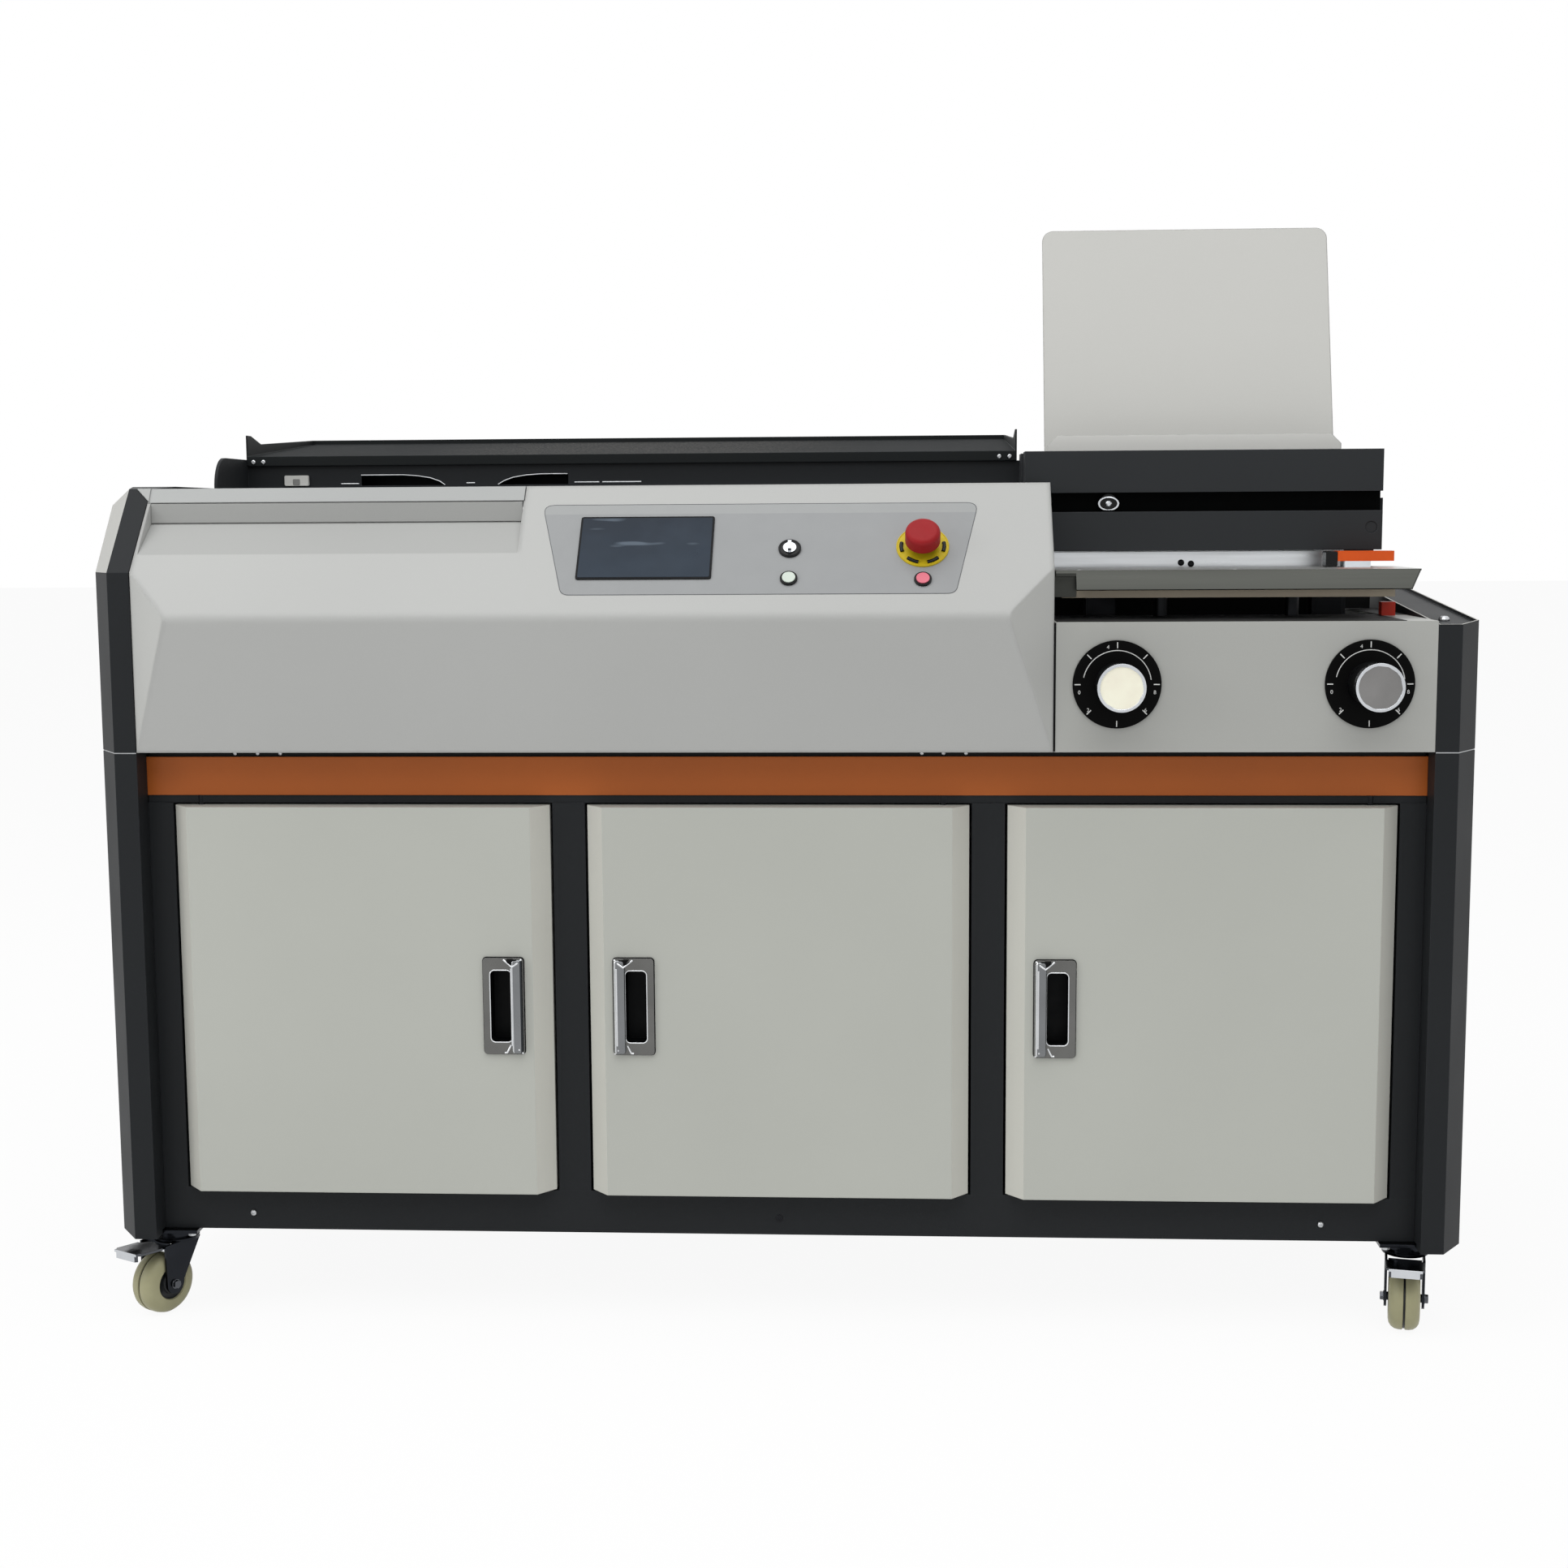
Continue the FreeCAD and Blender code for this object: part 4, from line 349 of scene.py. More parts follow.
def grow(piece, group, values):
    """Runs a node group on a piece, its inputs set by their sockets' identifiers, and keeps the result."""
    grown = piece.modifiers.new(group.name, "NODES")
    grown.node_group = group
    for socket in group.interface.items_tree:
        if socket.name in values:
            grown[socket.identifier] = values[socket.name]
    keep_result(piece)


def fix(piece, body="chassis"):
    """Fastens a finished piece to its body."""
    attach(piece, body)
    return piece


to_front, to_back, to_top, to_floor = (0, -1, 0), (0, 1, 0), (0, 0, 1), (0, 0, -1)
# Its strong edge tone is rubbed wear together with painted highlights along the top edges.
charcoal = powder_coat("charcoal_powder", (35, 37, 39), 0.48, edge_tone=2.6, cloud=0.03, shine=0.12)
zinc = plated_metal("zinc_plating", (196, 198, 200), 0.3)
black_oxide = plated_metal("black_oxide", (38, 39, 41), 0.35)


def fasten(name, spots, diameter, height, facing=to_front, finish=zinc, head=button_head,
           body="chassis"):
    """Screws of one kind (sizes in mm) at (x, depth, z) spots, all facing one way."""
    piece = in_scene(name, mesh_of(name, [at(*spot) for spot in spots]))
    grow(piece, fasteners, {"Head": head, "Diameter": diameter / 1000, "Height": height / 1000,
                            "Facing": facing, "Finish": finish})
    return fix(piece, body)


coat(charcoal, "cabinet_frame")
beam_front, beam_rear, beam_screw_z = 32.8, 647.2, 126
fasten("beam_screws", [(x, beam_front, beam_screw_z) for x in (-637, 637)], 8, 3.2)
fasten("beam_plug", [(-1, beam_front, beam_screw_z)], 9, 1.2, finish=black_oxide)
fasten("rear_beam_screws", [(x, beam_rear, beam_screw_z) for x in (-732, 732)], 10, 3.2, to_back)


# ------------------------ swivel casters
# Pressed steel forks, chrome plated, on bolted top plates; the two front ones have a foot brake.
# Wheels: cast nylon tyres, olive beige, their tread groove painted dark as painted shade, and a dark pressed
# dust cover.
def moulded(name, colour, rough, texture=0.1, scale=700.0, variation=0.05, edge_tone=1.25, shine=0.25):
    """Moulded plastic or rubber: fine spark texture, small tone changes, edges polished by handling."""
    finish, tree = new_finish(name, shine=shine)
    colour = srgb(*colour)
    tone = ramp(tree, noise(tree, 30.0, 3.0), 0.3, 0.7)
    body = blend_colours(tree, tone, shade(colour, 1 - variation), shade(colour, 1 + variation))
    soft, near_edge = rounded_edges(tree, 0.0005)
    body = blend_colours(tree, near_edge, body, shade(colour, edge_tone))
    gloss = ramp(tree, noise(tree, 75.0, 4.0), 0.3, 0.7, rough - 0.05, rough + 0.07)
    return dress(finish, body, gloss, noise(tree, scale), texture, 0.0002, soft)


def make_piece(name, vertices, faces, finishes, pick=None, sharp=35):
    """A closed mesh piece with outward faces, smooth up to a sharp angle, and a finish for each face."""
    mesh = mesh_of(name, vertices, faces)
    shell = bmesh.new()
    shell.from_mesh(mesh)
    bmesh.ops.remove_doubles(shell, verts=shell.verts, dist=1e-6)
    bmesh.ops.recalc_face_normals(shell, faces=shell.faces)
    shell.to_mesh(mesh)
    shell.free()
    for finish in finishes:
        mesh.materials.append(finish)
    mesh.polygons.foreach_set("use_smooth", [True] * len(mesh.polygons))
    mesh.set_sharp_from_angle(angle=radians(sharp))
    if pick:
        for face in mesh.polygons:
            face.material_index = pick(face.center)
    return in_scene(name, mesh)


def round_ways(sides):
    """The cosine and sine of each corner's direction round a circle."""
    return [(cos(2 * pi * i / sides), sin(2 * pi * i / sides)) for i in range(sides)]


def turned_part(profile, sides):
    """Vertices and faces of a closed profile of (along, radius) points turned about the Y axis."""
    vertices = [(radius * way_x, along, radius * way_z)
                for along, radius in profile for way_x, way_z in round_ways(sides)]
    return vertices, tube_faces(len(profile), sides, closed=True)


chrome = plated_metal("chrome_plating", (205, 208, 212), 0.13, 0.1, 0.2)
tyre = moulded("cast_nylon", (164, 161, 128), 0.42, 0.15, 420.0, 0.09)
wheel_core = moulded("wheel_core", (26, 28, 30), 0.38)
# Painted reflections: forks and plates are chrome painted near black for the dark underside they mirror;
# pedals and axle nuts a dim chrome.
pedal_chrome = plated_metal("pedal_chrome", (84, 86, 90), 0.14, 0.1, 0.25)
dark_chrome = plated_metal("dark_chrome", (38, 40, 44), 0.16, 0.12, 0.2)
coat(pedal_chrome, "brake_pedal_front_left", "brake_pedal_front_right")
coat(dark_chrome, "caster_plates")
half_tyre = [(18, 5.3), (18, 11.5), (16.8, 12.6), (15.2, 13.2), (15.2, 18.2), (16.2, 19.6), (18, 20.6),
             (18, 25.5), (17.1, 30.1), (14.5, 34.0), (10.6, 36.6), (6.0, 37.5), (1.7, 37.5), (1.2, 36.0)]
tyre_profile = half_tyre + [(-along, radius) for along, radius in reversed(half_tyre)]
trail, axle_z, tyre_sides = 25, 37.5, 72
plate_x, plate_low_z, bolt_offset, pedal_top_z = 742, 101.8, 29, 90
front_depth, rear_depth = 60, 595
cover_radius, groove_half, nut_reach = 0.0200, 0.0014, 0.0230
casters = (("front_left", -plate_x, front_depth, 240), ("front_right", plate_x, front_depth, 258),
           ("rear_left", -plate_x, rear_depth, 90), ("rear_right", plate_x, rear_depth, 90))
for corner, x, depth, heading in casters:
    swivel = Matrix.Translation(at(x, depth, 0)) @ Matrix.Rotation(radians(heading), 4, "Z")
    axle = swivel @ Matrix.Translation((trail / 1000, 0, axle_z / 1000))
    profile = [(along / 1000, radius / 1000) for along, radius in tyre_profile]
    vertices, faces = turned_part(profile, tyre_sides)
    home = axle.inverted()

    def wheel_zone(middle):
        """1 on the dust covers and in the groove round the tread, painted dark there as painted shade, 0 on
        the tyre.
        """
        local = home @ middle
        return int(hypot(local.x, local.z) < cover_radius or abs(local.y) < groove_half)

    wheel = make_piece("wheel_" + corner, [axle @ Vector(v) for v in vertices], faces, (tyre, wheel_core),
                       wheel_zone, sharp=50)
    fix(wheel, "wheel_" + corner)
    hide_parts("caster_wheel_" + corner)
    coat(dark_chrome, "caster_fork_" + corner)
    side, ahead_way = swivel.to_3x3() @ Vector((0, 1, 0)), swivel.to_3x3() @ Vector((1, 0, 0))
    if corner.startswith("front"):
        # Painted highlight: the pedals' faces that look ahead get bright chrome.
        coat_faces(chrome, "brake_pedal_" + corner,
                   lambda x, depth, z, normal: normal.dot(ahead_way) > 0.8 and z < pedal_top_z)
    for end, sign in (("near", -1), ("far", 1)):
        spot = in_mm(axle @ Vector((0, sign * nut_reach, 0)))
        fasten(f"axle_nut_{corner}_{end}", [spot], 12, 4.5, sign * side, pedal_chrome, hex_head,
               "fork_" + corner)
bolt_spots = [(side * plate_x + i * bolt_offset, depth + j * bolt_offset, plate_low_z) for side in (-1, 1)
              for depth in (front_depth, rear_depth) for i in (-1, 1) for j in (-1, 1)]
fasten("caster_plate_bolts", bolt_spots, 11, 4.5, to_floor, head=hex_head)


# ------------------------ side casings
# Folded sheet steel shells with broad chamfered corners, charcoal powder coat, hooked over the frame's ends.
# The upper left shell slants back like the cowl, and its outer slant is painted light grey. On the upper
# right one, the top faces round the sunk cap are light grey as a painted highlight. Screws in the rear
# chamfers hold them, and a bright bead closes the joint.
rim_painted_highlight = powder_coat("shell_grey_powder", (200, 199, 194), 0.4, 0.18, 1.05, cloud=0.03)
slant_grey = powder_coat("slant_grey_powder", (178, 178, 174), 0.4, 0.18, 1.05, cloud=0.03)
slope_foot_z, slant_x, slant_depth = 897, -773, 90
cap_front_z, cap_rise, body_depth = 831.5, 50, 680
coat(charcoal, "lower_side_casings", "left_upper_casing", "right_upper_casing")
coat_faces(slant_grey, "left_upper_casing", lambda x, depth, z, normal:
           x < slant_x and depth < slant_depth and z > slope_foot_z and normal.y < -0.1)
# Painted highlight on the upper right casing's top faces.
coat_faces(rim_painted_highlight, "right_upper_casing", lambda x, depth, z, normal:
           normal.z > 0.9 and z > cap_front_z + depth * cap_rise / body_depth)
fasten("right_cap_screws", [(768, 70, 833.2), (768, 610, 872.9)], 13, 5, to_top)


def ribbon(name, path, drop, thickness, finish, body="chassis"):
    """A strip of even thickness that follows a path; drop is the strip's width as a vector in metres."""
    points = [at(*p) for p in path]
    count = len(points)
    faces = [(i, i + 1, count + i + 1, count + i) for i in range(count - 1)]
    piece = in_scene(name, mesh_of(name, points + [p + Vector(drop) for p in points], faces))
    piece.data.materials.append(finish)
    wall = piece.modifiers.new("wall", "SOLIDIFY")
    wall.thickness, wall.offset = thickness / 1000, 0
    keep_result(piece)
    return fix(piece, body)


seam_bead = plated_metal("seam_bead", (180, 182, 184), 0.3)
seam_z, chamfer_x, chamfer_depth = 686.6, 785.8, 660
seam_corners = ((746.5, 1.0), (771.8, 1.0), (798.9, 40.4), (798.9, 639.6), (771.8, 679), (746.5, 679))
for hand, side in (("left", -1), ("right", 1)):
    ribbon(f"casing_seam_{hand}", [(side * x, depth, seam_z) for x, depth in seam_corners],
           (0, 0, 0.0013), 1.2, seam_bead)
    fasten(f"casing_screws_{hand}", [(side * chamfer_x, chamfer_depth, z) for z in (150, 400, 640, 720)],
           10, 2.6, (side * 0.824, 0.567, 0), black_oxide)


# ------------------------ accent strip and bed
# A flat sheet strip, burnt orange powder coat, screwed under the bed's front edge.
# The bed is a thick steel plate painted near black as a painted shadow for the dark line under the cowl;
# small bright grub screws show in its edge.
orange = powder_coat("burnt_orange_powder", (171, 90, 35), 0.38, 0.2, 1.3, cloud=0.08)
shade_black_steel = powder_coat("blackened_steel", (10, 11, 12), 0.5, 0.3, 1.6, shine=0.12)
coat(orange, "accent_strip")
coat(shade_black_steel, "bed_plate")
bed_edge, bed_screw_z = 34.8, 683.5
fasten("bed_grub_screws", [(x, bed_edge, bed_screw_z) for x in (-640, -613, -586, 168, 193, 219)], 4.6, 1.2)


# ------------------------ doors, handles and hinges
# Three pressed sheet doors with bevelled sides, light grey powder coat, hung on steel pins.
# Each pull is a cast bezel, chrome plated, round a black cup, with a raised lip beside the free edge.
# The pulls' chrome carries painted reflections: a dark face and grey lip, bright painted highlights, dark
# painted shade.
door_grey = powder_coat("door_grey_powder", (184, 186, 179), 0.4, 0.16, 1.1, cloud=0.025)
cup_black = moulded("cup_black", (6, 7, 8), 0.5, shine=0.1)
pull_chrome = plated_metal("pull_chrome", (214, 216, 218), 0.12, 0.1, 0.1)
pull_face = plated_metal("pull_face", (108, 108, 106), 0.26, 0.05, 0.03)
lip_grey = plated_metal("lip_grey", (126, 128, 130), 0.2, 0.1, 0.1)
lip_shadow = plated_metal("lip_shadow", (52, 55, 58), 0.2, 0.1, 0.1)
bevel_painted_light = powder_coat("bevel_grey_powder", (204, 204, 196), 0.4, 0.16, 1.1, cloud=0.025)
coat(black_oxide, "door_hinge_pins")


def rounded_box(width, height, radius, steps=6):
    """Points round a rectangle with rounded corners, about its middle."""
    far_x, far_z = width / 2 - radius, height / 2 - radius
    return [(side_x * far_x + radius * cos(a), side_z * far_z + radius * sin(a))
            for side_x, side_z, start in ((1, 1, 0), (-1, 1, 90), (-1, -1, 180), (1, -1, 270))
            for a in (radians(start + 90 * i / steps) for i in range(steps + 1))]


def drawn_mesh(line, loops, closed, finish):
    """The plain mesh of a curve through loops of places in metres, or of a text, in one finish."""
    for loop in loops:
        spline = line.splines.new("POLY")
        spline.points.add(len(loop) - 1)
        for point, spot in zip(spline.points, loop):
            point.co = (*spot, 1)
        spline.use_cyclic_u = closed
    drawn = in_scene(line.name + "_line", line)
    mesh = plain_mesh(drawn)
    bpy.data.objects.remove(drawn)
    mesh.materials.clear()
    mesh.materials.append(finish)
    return mesh


def round_wire(name, loops, thick, finish, body="chassis", closed=True):
    """Round wire of a thickness in mm along paths of places in metres."""
    line = bpy.data.curves.new(name, "CURVE")
    line.dimensions, line.bevel_depth, line.bevel_resolution, line.use_fill_caps = "3D", thick / 2000, 3, True
    return fix(in_scene(name, drawn_mesh(line, loops, closed, finish)), body)


pull_z, pull_face_depth, lip_edge = 388, 5.9, 9.4
cup_half_x, cup_half_z, cup_front = 12.35, 42.6, 6.1
pocket_shape = ((16.8, 56.2), (4.6, 56.2), (8.0, 51.6), (11.2, 50.0), (13.6, 51.6))
fold_lines = (((22.2, 4.4, 56.2), (17, 1.5, 51.6), (11.4, 1.5, 47.4), (6, 4.9, 51.2), (0.5, 5.8, 55.6)),
              ((22.6, 4.4, -56.0), (17.4, 1.5, -50.6)),
              ((8, 5.6, -46.4), (3.4, 5.6, -55.4), (0.4, 5.8, -55.8)))
doors = (("left_door", -321.8, 1), ("middle_door", -168.5, -1), ("right_door", 321.8, -1))
for door, pull_x, free_side in doors:
    cup_x = pull_x - 3 * free_side
    highlight_x = pull_x + (10.2 if free_side > 0 else -19.4)
    coat(door_grey, door)
    # Painted light: the bevelled sides get a lighter copy of the door grey.
    coat_faces(bevel_painted_light, door, lambda x, depth, z, normal: normal.y < -0.1 and abs(normal.x) > 0.3)
    coat(pull_face, door + "_handle")
    # Painted reflections on the lip: grey on its front, bright on faces turned left, dark shade on faces
    # turned right.
    lip_lit_sides = ((lip_grey, -0.3, 2), (pull_chrome, -2, -0.3), (lip_shadow, 0.3, free_side + 0.5))
    for finish, low, high in lip_lit_sides:
        coat_faces(finish, door + "_handle", lambda x, depth, z, normal:
                   (x - pull_x) * free_side > lip_edge and depth < pull_face_depth and low <= normal.x < high)
    coat_faces(cup_black, door + "_handle", lambda x, depth, z, normal:
               abs(x - cup_x) < cup_half_x and abs(z - pull_z) < cup_half_z and depth > cup_front)
    cup_edge = [at(cup_x + x, 5.8, pull_z + z) for x, z in rounded_box(25.6, 86.2, 5.6)]
    bezel_edge = [at(pull_x + x, 9.0, pull_z + z) for x, z in rounded_box(48.4, 115.4, 4.2)]
    folds = [[at(pull_x + free_side * x, depth, pull_z + z) for x, depth, z in fold] for fold in fold_lines]
    crest = [at(highlight_x, 1.7, pull_z + z) for z in (-46, 46)]
    # The rim and fold wires are the pull's edges with painted highlights; the bright wire on the lip is a
    # painted highlight streak.
    round_wire(door + "_cup_rim", [cup_edge], 1.5, pull_chrome, door)
    round_wire(door + "_pull_gasket", [bezel_edge], 1.5, cup_black, door)
    round_wire(door + "_pull_folds", folds, 2.6, pull_chrome, door, closed=False)
    round_wire(door + "_lip_crest", [crest], 2.4, pull_chrome, door, closed=False)
    pocket = [at(pull_x + free_side * x, depth, pull_z + z)
              for depth in (1.5, pull_face_depth) for x, z in pocket_shape]
    fix(make_piece(door + "_pull_pocket", pocket, tube_faces(2, 5), (cup_black,)), door)


# ------------------------ rear covers, electrics and inlet
# Sheet steel covers, light grey, with three groups of louvre blades pressed over their slots.
# The mains inlet is a black moulded socket with three blade pins; the switchgear box is galvanised sheet.
def galvanised(name):
    """Hot-dip zinc with its crystal spangle."""
    finish, tree = new_finish(name, 0.85)
    crystals = add_node(tree, "TexVoronoi", {"Vector": own_place(tree), "Scale": 130.0})
    flake = add_node(tree, "SeparateColor", {0: crystals.outputs["Color"]}).outputs[0]
    body = blend_colours(tree, flake, srgb(150, 154, 158), srgb(192, 196, 200))
    soft, _ = rounded_edges(tree, 0.001)
    return dress(finish, body, ramp(tree, flake, 0, 1, 0.34, 0.5), noise(tree, 300.0), 0.1, 0.0002, soft)


def louvre_tree():
    """Geometry Nodes: a column of pressed blades, copied upwards at a pitch."""
    group, given = new_group("louvre_blades", Blade="Geometry", Count="Int", Pitch="Float", Finish="Material")
    step = add_node(group, "CombineXYZ", {2: given["Pitch"]})
    column = add_node(group, "GeometryNodeMeshLine", {"Count": given["Count"], "Offset": step.outputs[0]})
    return set_out(group, column.outputs[0], given["Blade"], given["Finish"])


light_grey = powder_coat("light_grey_powder", (204, 204, 200), 0.4, 0.18, 1.08, cloud=0.02)
zinc_sheet = galvanised("galvanised_sheet")
socket_black = moulded("socket_black", (24, 25, 27), 0.4)
coat(light_grey, "rear_panel")
coat(zinc_sheet, "electrical_box", "dust_extraction")
coat(socket_black, "power_inlet")
louvres = louvre_tree()
blade_half, blade_count, blade_pitch = 112, 8, 0.018
panel_face, cover_face = 649.2, 647.2
blade_section = ((649.3, 427.5), (656.5, 419.6), (656.5, 418.8), (649.3, 425.0))
for hand, middle_x in (("left", -480), ("middle", 0), ("right", 480)):
    blade = [at(middle_x + x, depth, z) for x in (-blade_half, blade_half) for depth, z in blade_section]
    piece = make_piece(f"louvre_blades_{hand}", blade, tube_faces(2, 4), (light_grey,))
    grow(piece, louvres, {"Count": blade_count, "Pitch": blade_pitch, "Finish": light_grey})
    fix(piece)
panel_screws = ([(x, panel_face, z) for x in range(-720, 721, 240) for z in (140, 650)]
                + [(x, cover_face, z) for x in range(-720, 290, 200) for z in (702, 980)]
                + [(x, cover_face, z) for x in (420, 580, 728) for z in (702, 818)])
fasten("rear_panel_screws", panel_screws, 9, 2.4, to_back)
pin_metal = plated_metal("pin_metal", (190, 170, 120), 0.25)


def bar(x0, x1, d0, d1, z0, z1, chamfer):
    """A small bar with its long edges taken off, as vertices and faces in metres."""
    outline = [(x0 + chamfer, z0), (x1 - chamfer, z0), (x1, z0 + chamfer), (x1, z1 - chamfer),
               (x1 - chamfer, z1), (x0 + chamfer, z1), (x0, z1 - chamfer), (x0, z0 + chamfer)]
    return [at(x, depth, z) for depth in (d0, d1) for x, z in outline], tube_faces(2, 8)


inlet_low, inlet_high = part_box("power_inlet")
inlet_x, inlet_z = (inlet_low.x + inlet_high.x) * 500, (inlet_low.z + inlet_high.z) * 500
inlet_face, pin_front, pin_back = 652.2, 639, 650
pin_vertices, pin_faces = [], []
for x, z in ((inlet_x - 7, inlet_z - 2.5), (inlet_x + 7, inlet_z - 2.5), (inlet_x, inlet_z + 3.5)):
    vertices, faces = bar(x - 1, x + 1, pin_front, pin_back, z - 3, z + 3, 0.4)
    pin_faces += [tuple(len(pin_vertices) + i for i in face) for face in faces]
    pin_vertices += vertices
fix(make_piece("inlet_pins", pin_vertices, pin_faces, (pin_metal,)))
fasten("inlet_screws", [(inlet_x + side * 28, inlet_face, inlet_z) for side in (-1, 1)], 4.5, 1.5, to_back)
(left, front, low), (right, _, high) = [in_mm(corner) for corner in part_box("electrical_box")]
inset = 16
fasten("electrical_box_screws", [(x, front, z) for x in (left + inset, right - inset)
                                 for z in (low + inset, high - inset)], 7, 2)


# ------------------------ front cowl and glue bay lid
# One large pressed sheet cowl, light grey, with a soft ridge and facets at its ends, and a finger scoop.
# The lid over the glue bay is a folded sheet that hinges at the back.
# The cowl paints' wide, faint edge tone is a painted highlight along the ridges.
cowl_grey = powder_coat("cowl_grey_powder", (179, 180, 178), 0.36, 0.12, 1.03, 0.007, 0.02)
facet_painted_light = powder_coat("facet_grey_powder", (186, 187, 184), 0.36, 0.12, 1.03, 0.007, 0.02)
scoop_painted_shade = powder_coat("scoop_grey_powder", (169, 170, 168), 0.4, 0.12, 1.03, cloud=0.02)
lid_grey = powder_coat("lid_grey_powder", (166, 168, 167), 0.36, 0.12, 1.1, cloud=0.02)
fold_painted_shade = powder_coat("fold_grey_powder", (158, 159, 157), 0.4, 0.12, 1.05, cloud=0.02)
rubber = moulded("rubber_seal", (9, 9, 10), 0.6, shine=0.1)
scoop_end_x, scoop_low, scoop_high = -290, 915, 970
coat(cowl_grey, "front_cowl")
# Painted light: the end facets get a lighter copy of the cowl grey.
coat_faces(facet_painted_light, "front_cowl", lambda x, depth, z, normal: abs(normal.x) > 0.5 and normal.y < -0.5)
# Painted shade: the scoop's ramp gets a darker copy of the cowl grey.
coat_faces(scoop_painted_shade, "front_cowl", lambda x, depth, z, normal:
           x < scoop_end_x and scoop_low < z < scoop_high and normal.z > 0.8)
coat(lid_grey, "glue_bay_lid")
ribbon("cowl_seal_left", [(-746.1, -0.6, 690), (-746.1, -0.6, slope_foot_z), (-746.1, 69, 974.8)],
       (0.0002, 0, 0), 0.6, rubber)
# Painted shade: the finger fold is a darker copy of the lid grey, for the shade under its lip.
ribbon("lid_finger_fold", [(x, 71.0, 976.0) for x in (-741.2, -298.5)], (0, -0.0016, -0.0226), 0.8,
       fold_painted_shade, "glue_bay_lid")


# ------------------------ control fascia
# A printed polyester film on the slope, blue grey with a fine dark border, round a framed glass touch screen.
# Key switch, start and stop buttons in black rings, and a mushroom emergency stop on a yellow disc.
up_slope, out_of_slope = Vector((0, 0.6677, 0.7444)), Vector((0, -0.7444, 0.6677))


def on_slope(x, s, height=0.0):
    """A place on the sloping panel in metres, from X, distance up the slope and height above it in mm."""
    return at(x, 0, slope_foot_z) + (up_slope * s + out_of_slope * height) / 1000


def rounded_outline(corners, radius, steps=6):
    """Points round a polygon with its corners rounded."""
    points = []
    for i, corner in enumerate(corners):
        here, before, after = Vector(corner), Vector(corners[i - 1]), Vector(corners[(i + 1) % len(corners)])
        into, out = (before - here).normalized(), (after - here).normalized()
        reach = radius / tan(into.angle(out) / 2)
        start, end = here + into * reach, here + out * reach
        for k in range(steps + 1):
            t = k / steps
            points.append(tuple((1 - t) ** 2 * start + 2 * t * (1 - t) * here + t ** 2 * end))
    return points


def flat_sheet(name, loops, thick, lift, finish, body="chassis"):
    """A thin flat piece lying on the slope: an outline with holes, of (x, s) points in mm."""
    line = bpy.data.curves.new(name, "CURVE")
    line.dimensions, line.fill_mode, line.extrude = "2D", "BOTH", thick / 2000
    mesh = drawn_mesh(line, [[(x / 1000, s / 1000, 0) for x, s in loop] for loop in loops], True, finish)
    for vertex in mesh.vertices:
        vertex.co = on_slope(vertex.co.x * 1000, vertex.co.y * 1000, vertex.co.z * 1000 + lift + thick / 2)
    return fix(in_scene(name, mesh), body)


def ring_points(x, s, radius, sides=40):
    return [(x + radius * way_x, s + radius * way_s) for way_x, way_s in round_ways(sides)]


def along_slope(tree, s):
    """Distance up the slope from the place s, in metres, from the machine's own coordinates."""
    reach = add_node(tree, "VectorMath", {0: own_place(tree), 1: up_slope}, operation="DOT_PRODUCT")
    start = on_slope(0, s).dot(up_slope)
    return add_node(tree, "Math", {0: reach.outputs["Value"], 1: start}, operation="SUBTRACT").outputs[0]


def paint_over(finish, amount, colour):
    """Lays a colour over a finish by an amount, 0 to 1, that a node gives."""
    tree = finish.node_tree
    base = tree.nodes["Principled BSDF"].inputs["Base Color"]
    tree.links.new(blend_colours(tree, amount, base.links[0].from_socket, colour), base)


corner_plate = [on_slope(x, s, height) for height in (0.2, 1.4)
                for x, s in ((-744, 108.6), (-745.6, 129.6), (-762.5, 129.6))]
fix(make_piece("lid_corner", corner_plate, tube_faces(2, 3), (lid_grey,)), "glue_bay_lid")
film = moulded("fascia_film", (149, 151, 152), 0.42, 0.12, 1500.0, 0.015, 0.9)
paint_over(film, ramp(film.node_tree, along_slope(film.node_tree, 85), -0.0004, 0.0004), srgb(158, 160, 160))
border_ink = moulded("border_ink", (92, 95, 98), 0.45)
key_x, key_s, start_s = 17, 30, -14.4
estop_x, estop_s, stop_s = 168.5, 32, -16.5
film_edge = rounded_outline([(-241, -37), (205.5, -37), (233.5, 100), (-274, 100)], 12)
inner_edge = rounded_outline([(-240.4, -36.3), (205.0, -36.3), (232.6, 99.3), (-273.2, 99.3)], 11.3)
screen_hole = [(-225.2, -13.5), (-72.2, -13.5), (-72.2, 78.5), (-225.2, 78.5)]
button_holes = [ring_points(x, s, radius) for x, s, radius in
                ((key_x, key_s, 11.5), (key_x, start_s, 9), (estop_x, estop_s, 27), (estop_x, stop_s, 9))]
flat_sheet("fascia_film", [film_edge, screen_hole] + button_holes, 0.25, 0.05, film)
flat_sheet("fascia_border", [film_edge, inner_edge], 0.12, 0.3, border_ink)

screen_frame = moulded("screen_frame", (9, 11, 14), 0.35, shine=0.1)
screen_glass, tree = new_finish("screen_glass", shine=0.12)
